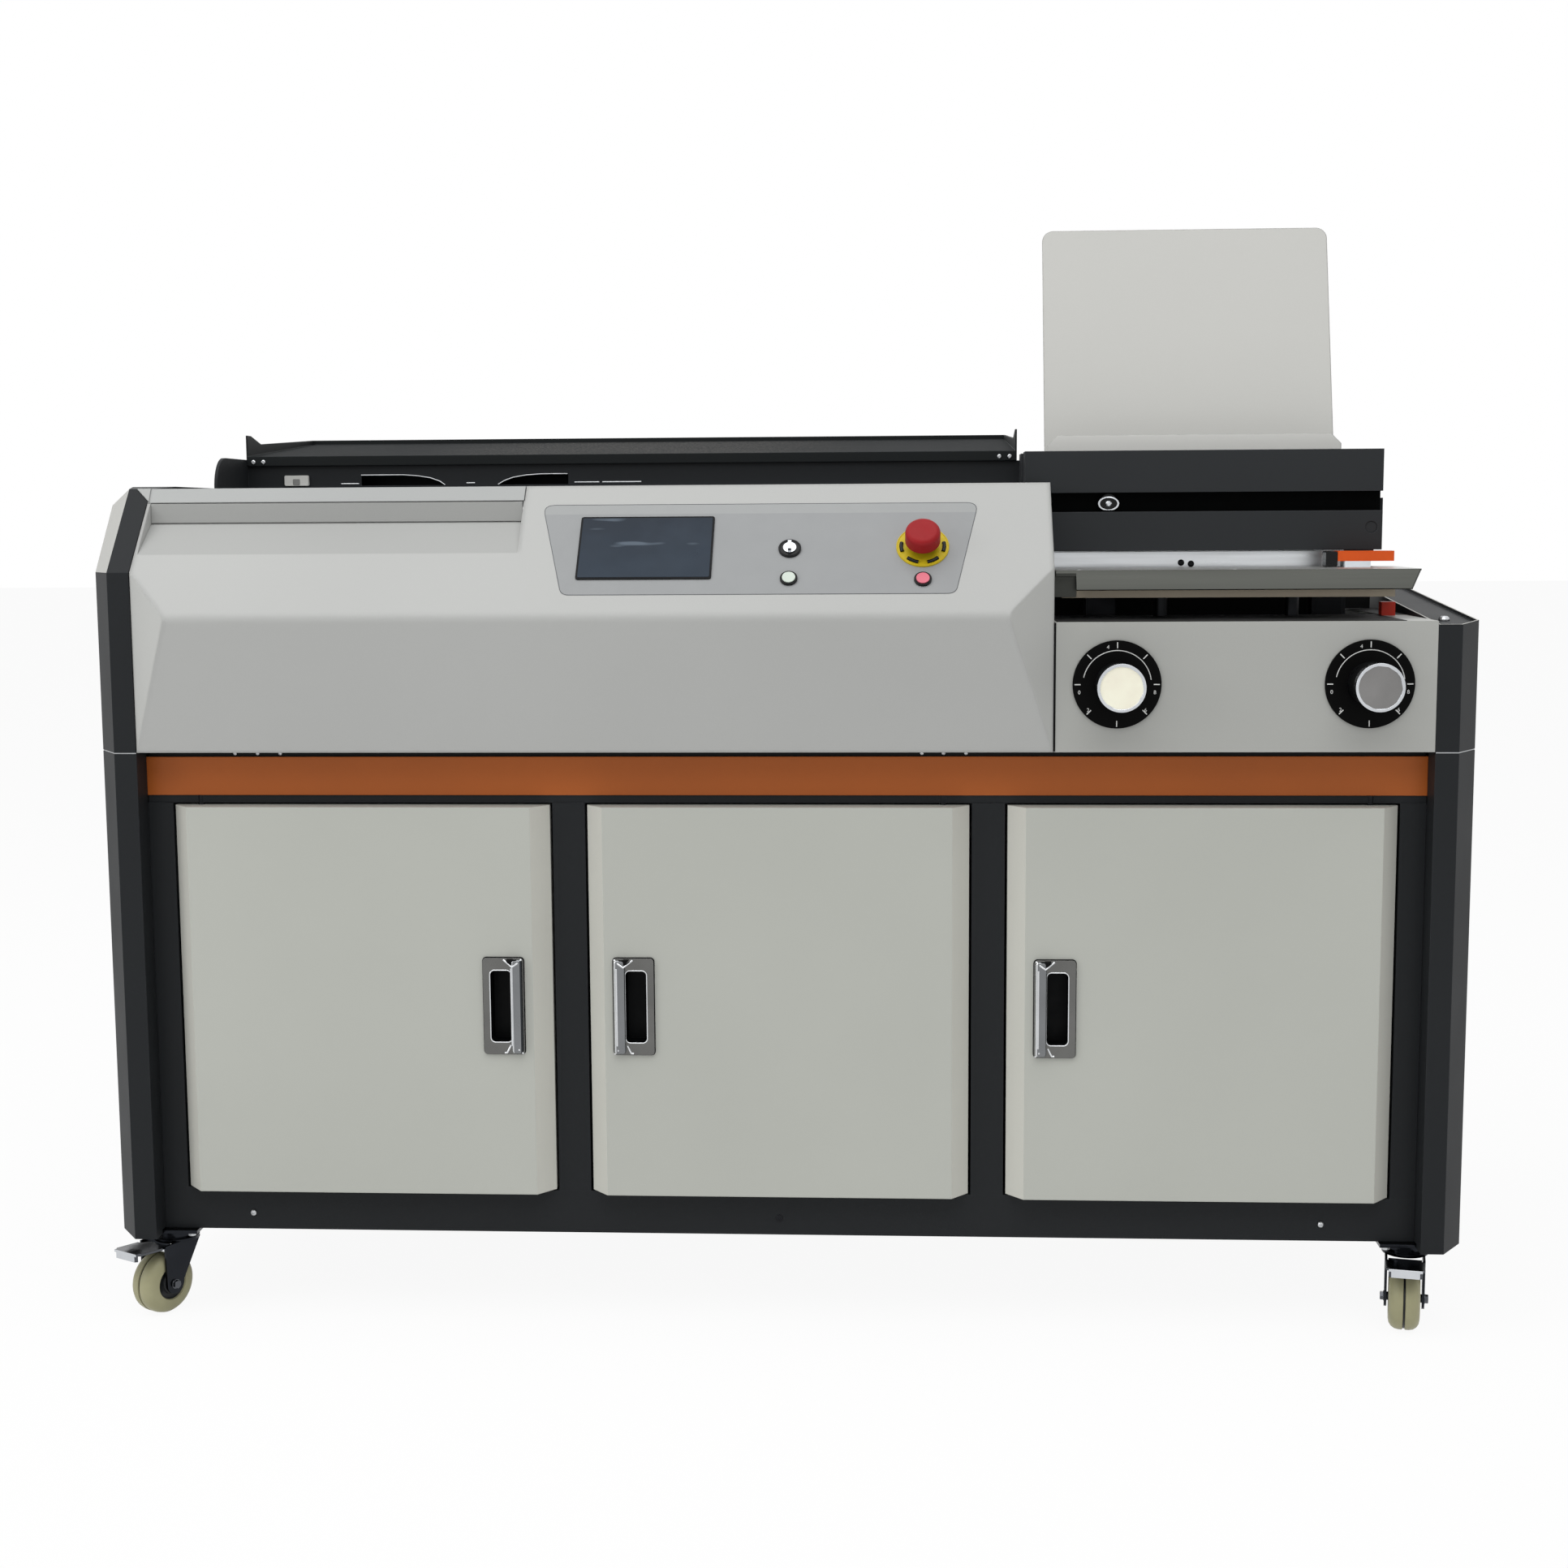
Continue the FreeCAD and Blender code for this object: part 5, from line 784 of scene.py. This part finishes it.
# Painted reflections: the glass darkens up the slope and carries pale streaks.
rise = ramp(tree, along_slope(tree, 32.5), -0.047, 0.047)
dusk = blend_colours(tree, rise, srgb(37, 49, 62), srgb(27, 37, 49))
dusk = blend_colours(tree, ramp(tree, noise(tree, 14.0, 3.0), 0.45, 0.7, 0.0, 0.5), dusk, srgb(48, 61, 75))
reflection_streaks = ramp(tree, noise(tree, 9.0, 2.0, (1, 5, 5)), 0.62, 0.67, 0.0, 0.42)
dusk = blend_colours(tree, reflection_streaks, dusk, srgb(120, 134, 148))
shader = tree.nodes["Principled BSDF"]
tree.links.new(dusk, shader.inputs["Base Color"])
tree.links.new(ramp(tree, noise(tree, 30.0, 5.0), 0.4, 0.75, 0.12, 0.32), shader.inputs["Roughness"])
coat(screen_frame, "touch_screen")
glass_edge = rounded_outline([(-223.9, -12.2), (-73.5, -12.2), (-73.5, 77.2), (-223.9, 77.2)], 1.5)
flat_sheet("screen_glass", [glass_edge], 0.3, 2.0, screen_glass)

gloss_black = moulded("gloss_black", (9, 10, 11), 0.25, shine=0.2)
warning_yellow = moulded("warning_yellow", (200, 176, 24), 0.4)
stop_red = moulded("stop_red", (151, 30, 34), 0.42, 0.06, shine=0.15)
pale_green = moulded("pale_green", (206, 216, 206), 0.35)
rose = moulded("rose_plastic", (214, 112, 128), 0.35)
estop_foot, disc_reach, neck_height = on_slope(estop_x, estop_s), 0.0315, 0.0119
coat(gloss_black, "switch_bezels")
coat_faces(warning_yellow, "switch_bezels",
           lambda x, depth, z, normal: (at(x, depth, z) - estop_foot).length < disc_reach)
coat(stop_red, "estop_head")
coat_faces(gloss_black, "estop_head",
           lambda x, depth, z, normal: (at(x, depth, z) - estop_foot).dot(out_of_slope) < neck_height)
coat(pale_green, "start_button")
coat(rose, "stop_button")
coat(chrome, "key_switch")
mark_radius = 24.5
arcs = [map(radians, range(start, start + 33, 8)) for start in (168, 226, 282, 340)]
marks = [[on_slope(estop_x + mark_radius * cos(a), estop_s + mark_radius * sin(a), 2.1)
          for a in arc] for arc in arcs]
round_wire("estop_turn_marks", marks, 4.6, gloss_black, closed=False)
for name, x, s, radius, thick, lift, finish in (
        ("start_ring_lip", key_x, start_s, 8.9, 1.1, 2.5, gloss_black),
        ("stop_ring_lip", estop_x, stop_s, 8.9, 1.1, 2.5, gloss_black),
        ("key_ring_lip", key_x, key_s, 11.6, 1.6, 2.5, gloss_black),
        ("estop_disc_lip", estop_x, estop_s, 29.2, 1.0, 2.0, warning_yellow)):
    lip = [on_slope(*place, lift) for place in ring_points(x, s, radius)]
    round_wire(name, [lip], thick, finish)


# ------------------------ right front panel, dials and knobs
# A folded sheet panel, light grey, with two black dial discs engraved with a scale and plain numbers.
# The knobs are black moulded barrels with turned metal caps pressed on.
panel_grey = powder_coat("panel_grey_powder", (172, 173, 169), 0.4, 0.15, 1.1, cloud=0.02)
dial_black = moulded("dial_black", (6, 6, 6), 0.45, 0.05, shine=0.05)
knob_black = moulded("knob_black", (9, 10, 11), 0.3, shine=0.2)
engraving = moulded("engraving_white", (215, 216, 214), 0.45)
# Painted shadow: a black strip in the gap between cowl and panel stands for its shade.
ribbon("panel_joint", [(316.9, -0.3, 689), (316.9, -0.3, 835.4)], (0.0022, 0, 0), 0.6, rubber)
coat(panel_grey, "right_front_panel")
coat(dial_black, "dial_plates")


def spun_metal(name, colour, rough, middle, metallic):
    """A turned metal face with fine rings about its middle."""
    finish = plated_metal(name, colour, rough, 0.1, 0.0, None, metallic)
    tree = finish.node_tree
    where = add_node(tree, "Mapping", {"Vector": own_place(tree), "Location": -middle}).outputs[0]
    rings = add_node(tree, "TexWave", {"Vector": where, "Scale": 320.0, "Distortion": 0.6, "Detail": 2.0},
                     wave_type="RINGS", rings_direction="Y").outputs["Fac"]
    bump = add_node(tree, "Bump", {"Strength": 0.25, "Distance": 0.0001, "Height": rings})
    tree.links.new(bump.outputs[0], tree.nodes["Principled BSDF"].inputs["Normal"])
    return finish


def tick_tree():
    """Geometry Nodes: short bars set round a circle, each pointing at the middle."""
    group, given = new_group("dial_ticks", Tick="Geometry", Count="Int", Radius="Float", Finish="Material")
    sizes = {"Vertices": given["Count"], "Radius": given["Radius"]}
    circle = add_node(group, "GeometryNodeMeshCircle", sizes)
    where = add_node(group, "GeometryNodeInputPosition")
    aim = add_node(group, "FunctionNodeAlignRotationToVector", {"Vector": where.outputs[0]}, axis="X")
    return set_out(group, circle.outputs[0], given["Tick"], given["Finish"], Rotation=aim.outputs[0])


def onto_face(mesh, x, depth, z):
    """Stands a mesh drawn flat in X and Y up against a face of the machine that looks to the front."""
    mesh.transform(Matrix.Translation(at(x, depth, z)) @ Matrix.Rotation(pi / 2, 4, "X"))


ticks = tick_tree()
dial_z, dial_face, rim_depth, cap_depth = 765.4, -3.0, -45.9, -56.9
arc_radius, figure_radius, cap_radius = 38.5, 43.5, 23.5
half_length, half_width, half_rise = 0.0034, 0.0006, 0.00015
tick_box = [(i * half_length, j * half_width, k * half_rise) for i in (-1, 1)
            for j, k in ((-1, -1), (1, -1), (1, 1), (-1, 1))]
# The left cap's cream is raised near white: its own colour with a painted highlight.
dials = (("left", 388, (255, 248, 228), 0.05), ("right", 670.6, (132, 131, 130), 1.0))
for hand, dial_x, cap_colour, metallic in dials:
    cap_face = spun_metal(f"cap_face_{hand}", cap_colour, 0.4, at(dial_x, -57, dial_z), metallic)
    coat(knob_black, "adjust_knob_" + hand)
    coat_faces(chrome, "adjust_knob_" + hand, lambda x, depth, z, normal: depth < rim_depth)
    coat_faces(cap_face, "adjust_knob_" + hand, lambda x, depth, z, normal:
               depth < cap_depth and hypot(x - dial_x, z - dial_z) < cap_radius and normal.y < -0.9)
    tick = make_piece(f"dial_ticks_{hand}", tick_box, tube_faces(2, 4), (engraving,))
    grow(tick, ticks, {"Count": 8, "Radius": 0.0445, "Finish": engraving})
    onto_face(tick.data, dial_x, dial_face - 0.12, dial_z)
    fix(tick)
    arc = [at(dial_x + arc_radius * cos(a), dial_face - 0.1, dial_z + arc_radius * sin(a))
           for a in map(radians, range(8, 173, 5))]
    round_wire(f"dial_arc_{hand}", [arc], 1.1, engraving, closed=False)
    joined = bmesh.new()
    for turn, figure in ((180 + 12, "0"), (180 + 42, "2"), (-12, "8"), (-42, "6"), (90 + 14, "4")):
        text = bpy.data.curves.new("figure", "FONT")
        text.body, text.size, text.extrude = figure, 0.0062, 0.00012
        text.align_x, text.align_y = "CENTER", "CENTER"
        glyph = drawn_mesh(text, [], False, engraving)
        out_x, out_z = [figure_radius * way(radians(turn)) for way in (cos, sin)]
        onto_face(glyph, dial_x + out_x, dial_face - 0.1, dial_z + out_z)
        joined.from_mesh(glyph)
    figures = bpy.data.meshes.new(f"dial_figures_{hand}")
    joined.to_mesh(figures)
    joined.free()
    figures.materials.append(engraving)
    fix(in_scene(figures.name, figures))


# ------------------------ nipping unit and screw bearings
# Two anodised aluminium jaws nip the spine; each is driven by one knob's screw in dark steel bearing blocks.
# Thin rubber mats lie on the deck round them. Near-black sheet shields close the gap behind them: they stand
# for the dark works there and are painted shade.
bearing_steel = plated_metal("bearing_steel", (34, 35, 37), 0.38)
deck_rubber = moulded("deck_rubber", (38, 38, 38), 0.6, shine=0.1)
pale_anodised = plated_metal("pale_anodised", (214, 217, 220), 0.3, 0.1, 0.2, (0.15, 1, 4))


def add_bar(name, sizes, finish, body="chassis"):
    """Makes a small bar from the sizes that bar takes, and fixes it."""
    return fix(make_piece(name, *bar(*sizes), (finish,)), body)


mat_low, mat_top, shield_front, shield_rear, shield_top = 836.05, 836.6, 330, 331.5, 899.6
jaw_foot_z = 879
for part, x0, x1, d0, d1 in (("front", 320, 711, 3, 167), ("side", 712.5, 744.5, 158, 598)):
    add_bar("deck_mat_" + part, (x0, x1, d0, d1, mat_low, mat_top, 0.2), deck_rubber)
# Painted shade: near-black shields over the gap behind the deck.
for end, x0, x1, low in (("left", 318, 665, 700), ("right", 665.5, 738, 836.8)):
    add_bar("dust_shield_" + end, (x0, x1, shield_front, shield_rear, low, shield_top, 0.4), shade_black_steel)
coat(pale_anodised, "nip_jaw_front", "nip_jaw_rear")
for jaw in ("nip_jaw_front", "nip_jaw_rear"):
    coat_faces(bearing_steel, jaw, lambda x, depth, z, normal: z < jaw_foot_z)
coat(bearing_steel, "screw_bearings")
fasten("nip_jaw_screws", [(485, 215, 898), (497, 215, 896.5)], 8, 1.6, finish=black_oxide,
       body="nip_jaw_front")


# ------------------------ milling, dust and glue units
# A toothed milling disc on a cast motor, a galvanised hood and duct to the dust bin below,
# and a cast aluminium glue tank with its turned roller.
cast_grey = powder_coat("cast_grey", (98, 102, 104), 0.55, 0.6, 1.4, cloud=0.08)
tool_steel = plated_metal("tool_steel", (112, 114, 117), 0.3)
cast_aluminium = powder_coat("cast_aluminium", (150, 152, 154), 0.5, 0.5, 1.2, cloud=0.06)
ground_aluminium = plated_metal("ground_aluminium", (198, 200, 203), 0.36, 0.1, 0.2, (0.15, 1, 4))
coat(cast_grey, "cutter_motor", "travel_motor")
coat(tool_steel, "milling_cutter")
coat(cast_aluminium, "glue_tank")
coat(ground_aluminium, "glue_roller")


# ------------------------ girder, rails, travel screw and tray
# A box girder of folded sheet, charcoal, carries two ground rails, the travel screw and the sheet tray.
# The rails are held by sunk screws; the two slots in the girder have a bright edging strip.
# The tray's floor has a wrinkle coat, and a small white limit sensor sits near the girder's left end.
ground_steel = plated_metal("ground_steel", (186, 188, 190), 0.26, 0.08, 0.15, (0.1, 1, 3))
tray_charcoal = powder_coat("tray_charcoal", (25, 28, 29), 0.45, edge_tone=3.0, shine=0.12)
wrinkle_black = powder_coat("wrinkle_black", (40, 42, 43), 0.7, 1.0, 1.6, cloud=0.12, shine=0.03)
rail_face, girder_face, girder_seam_z = 312, 324.8, 1002.8
tray_rim_z, tray_front, tray_back = 1062, 325, 636
coat(charcoal, "rail_girder")
coat(tray_charcoal, "top_tray")
tree = wrinkle_black.node_tree
# Painted glints: the creases in a middle band of the floor are lighter.
along = add_node(tree, "SeparateXYZ", {0: own_place(tree)}).outputs[0]
glint_band = product(tree, ramp(tree, along, -0.5, -0.35), ramp(tree, along, 0.1, -0.05))
creased_glints = product(tree, glint_band, ramp(tree, noise(tree, 330.0, 4.0), 0.48, 0.58))
paint_over(wrinkle_black, creased_glints, srgb(76, 75, 73))
coat_faces(wrinkle_black, "top_tray", lambda x, depth, z, normal:
           normal.z > 0.9 and z < tray_rim_z and tray_front < depth < tray_back)
coat(ground_steel, "linear_rails")
fasten("rail_screws", [(x, rail_face, z) for x in range(-670, 721, 60) for z in (940, 986)], 9, 0.12,
       finish=black_oxide)
slots = [[(-552, 1013.6), (-497, 1013.6), (-478, 1012.2), (-462, 1009.6), (-450, 1005.4), (-443, 1000.6)],
         [(-374, 1000.6), (-366, 1005.4), (-354, 1009.6), (-338, 1012.2), (-318, 1013.6), (-284, 1013.6)]]
edging = plated_metal("edging_strip", (206, 208, 210), 0.3)
round_wire("slot_edging", [[at(x, girder_face - 0.1, z) for x, z in slot] for slot in slots], 1.3,
           edging, closed=False)
sensor_white = moulded("sensor_white", (206, 206, 202), 0.45)
sensor_grey = moulded("sensor_grey", (132, 132, 130), 0.45)
add_bar("limit_sensor", (-651, -620, 319.5, 325, 1000.5, 1013.5, 1.2), sensor_white)
add_bar("limit_sensor_window", (-640, -631, 318.9, 320, 1001.5, 1009, 0.8), sensor_grey)
seam_ends = ((-578, -555), (-415, -404), (-275, -243), (-239, -189))
round_wire("girder_seam_edges", [[at(x, girder_face, girder_seam_z) for x in ends] for ends in seam_ends],
           1.4, edging, closed=False)
fasten("tray_end_screws", [(x, 320, 1031) for x in (-691, -678, 268, 281)], 6, 2)


def threaded_bar(x0, x1, radius, depth_cut, lead, starts, middle):
    """Vertices and faces of a bar along X with several helical grooves cut into it."""
    steps, sides, vertices = int((x1 - x0) / 2.5), 24, []
    for i in range(steps + 1):
        x = x0 + (x1 - x0) * i / steps
        for k, (way_depth, way_z) in enumerate(round_ways(sides)):
            wave = 0.5 + 0.5 * cos(2 * pi * starts * (x / lead + k / sides))
            reach = radius - depth_cut * wave ** 2
            vertices.append(at(x, middle[0] + reach * way_depth, middle[1] + reach * way_z))
    return vertices, tube_faces(steps + 1, sides)


screw_left, screw_right = [in_mm(corner)[0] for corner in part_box("travel_screw")]
vertices, faces = threaded_bar(screw_left, screw_right, 9.98, 1.3, lead=50, starts=4, middle=(298, 963))
thread = make_piece("travel_screw_thread", vertices, faces, (ground_steel,), sharp=60)
fix(thread, "travel_screw")
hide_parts("travel_screw")


# ------------------------ book clamp carriage
# Two milled steel jaws, charcoal, on bright guide rods; the front one has a long groove with its lock bolt.
# The board behind is a bent sheet, light grey, and the small plate in front of it guides the book block.
jaw_charcoal = powder_coat("jaw_charcoal", (44, 46, 48), 0.42, 0.14, 2.2, shine=0.12)
groove_black = moulded("groove_black", (6, 7, 7), 0.6, shine=0.02)
# The board and plate edges are darkened: a painted dark outline for their edge shade.
board_grey = powder_coat("board_grey_powder", (194, 194, 190), 0.45, 0.1, 0.35, 0.0024, 0.015)
plate_grey = powder_coat("plate_grey_powder", (220, 220, 216), 0.45, 0.1, 0.45, 0.0022, 0.015)
bolt_x, bolt_z, bore_z, bore_radius = 394, 969.8, 971.5, 10.2
groove_low, groove_high, groove_front, groove_back = 959.9, 983.1, 185.1, 201
coat(jaw_charcoal, "clamp_front_jaw", "clamp_rear_jaw")
coat_faces(groove_black, "clamp_front_jaw", lambda x, depth, z, normal: groove_low < z < groove_high
           and groove_front < depth < groove_back and hypot(x - bolt_x, z - bore_z) > bore_radius)
# Painted shade: the jaw's faces in the bore round the bolt are gloss black.
coat_faces(gloss_black, "clamp_front_jaw", lambda x, depth, z, normal: depth < groove_back - 0.9
           and hypot(x - bolt_x, z - bore_z) < bore_radius - 0.1)
coat(chrome, "guide_rods")
coat_faces(jaw_charcoal, "guide_rods", lambda x, depth, z, normal: depth < 187)
coat(board_grey, "book_board")
coat(plate_grey, "front_guide_plate")
fasten("lock_bolt_stud", [(bolt_x, 190, bolt_z)], 8.5, 3.2, finish=chrome, body="front_jaw")
collar_sides, hole_radius = 28, 0.004
collar_rings = ((14, 9.6, 201), (14, 9.6, 192), (12.6, 8.6, 189), (10.6, 7.2, 188.6), (9.6, 6.4, 190))
oval = [at(bolt_x + half_x * way_x, depth, bolt_z + half_z * way_z)
        for half_x, half_z, depth in collar_rings for way_x, way_z in round_ways(collar_sides)]
faces = tube_faces(len(collar_rings), collar_sides)
# Painted shade: the collar's hole is black.
collar = make_piece("lock_bolt_collar", oval, faces, (chrome, groove_black), lambda middle:
                    int(hypot(middle.x - bolt_x / 1000, middle.z - bolt_z / 1000) < hole_radius))
fix(collar, "front_jaw")


# ------------------------ cover table
# Brushed stainless sheet with a bent front lip on a warm cast beam, carried by blackened posts, with a red
# stop post at the right. The lay clamp on it is an orange lever on a white foot, with a black holder.
stainless_dark_reflection = plated_metal("brushed_stainless", (61, 62, 59), 0.3, 0.1, 0.25, (0.06, 1, 2))
warm_beam = powder_coat("warm_beam", (190, 178, 158), 0.42, 0.2, 1.2)
lever_orange = moulded("lever_orange", (208, 82, 22), 0.35)
foot_white = moulded("foot_white", (214, 220, 226), 0.4)
stop_post_red = moulded("stop_post_red", (222, 66, 50), 0.4)
table_top = plated_metal("table_top", (206, 206, 204), 0.34, 0.1, 0.25, (0.06, 1, 2))
cast_front, cast_top, sheet_z, stop_post_x = 61.5, 890.9, 892, 700
# Painted reflections: the stainless sheet is painted dark on its lip and flange and light on its top.
coat(stainless_dark_reflection, "cover_table")
coat_faces(warm_beam, "cover_table", lambda x, depth, z, normal: depth > cast_front and z < cast_top)
coat_faces(table_top, "cover_table", lambda x, depth, z, normal: normal.z > 0.9 and z > sheet_z)
coat(black_oxide, "table_posts")
coat_faces(stop_post_red, "table_posts", lambda x, depth, z, normal: x > stop_post_x)
coat(foot_white, "lay_clamp")
coat_faces(lever_orange, "lay_clamp", lambda x, depth, z, normal: z > 900.05 or (z > 899.9 and x < 669))
add_bar("table_end_flange", (319, 346, 60, 61.7, 862, 892.6, 0.5), stainless_dark_reflection, "cover_table")
add_bar("lay_clamp_holder", (648, 661.7, 153.5, 176.5, 893.4, 911.5, 1.2), gloss_black,
        "lay_clamp")
fasten("table_screws", [(x, 80, 893) for x in (350, 530, 690)], 8, 0.6, to_top, body="cover_table")


# ------------------------ closing
# The templates of the screw heads go.
for template in (button_head, hex_head):
    bpy.data.objects.remove(template)
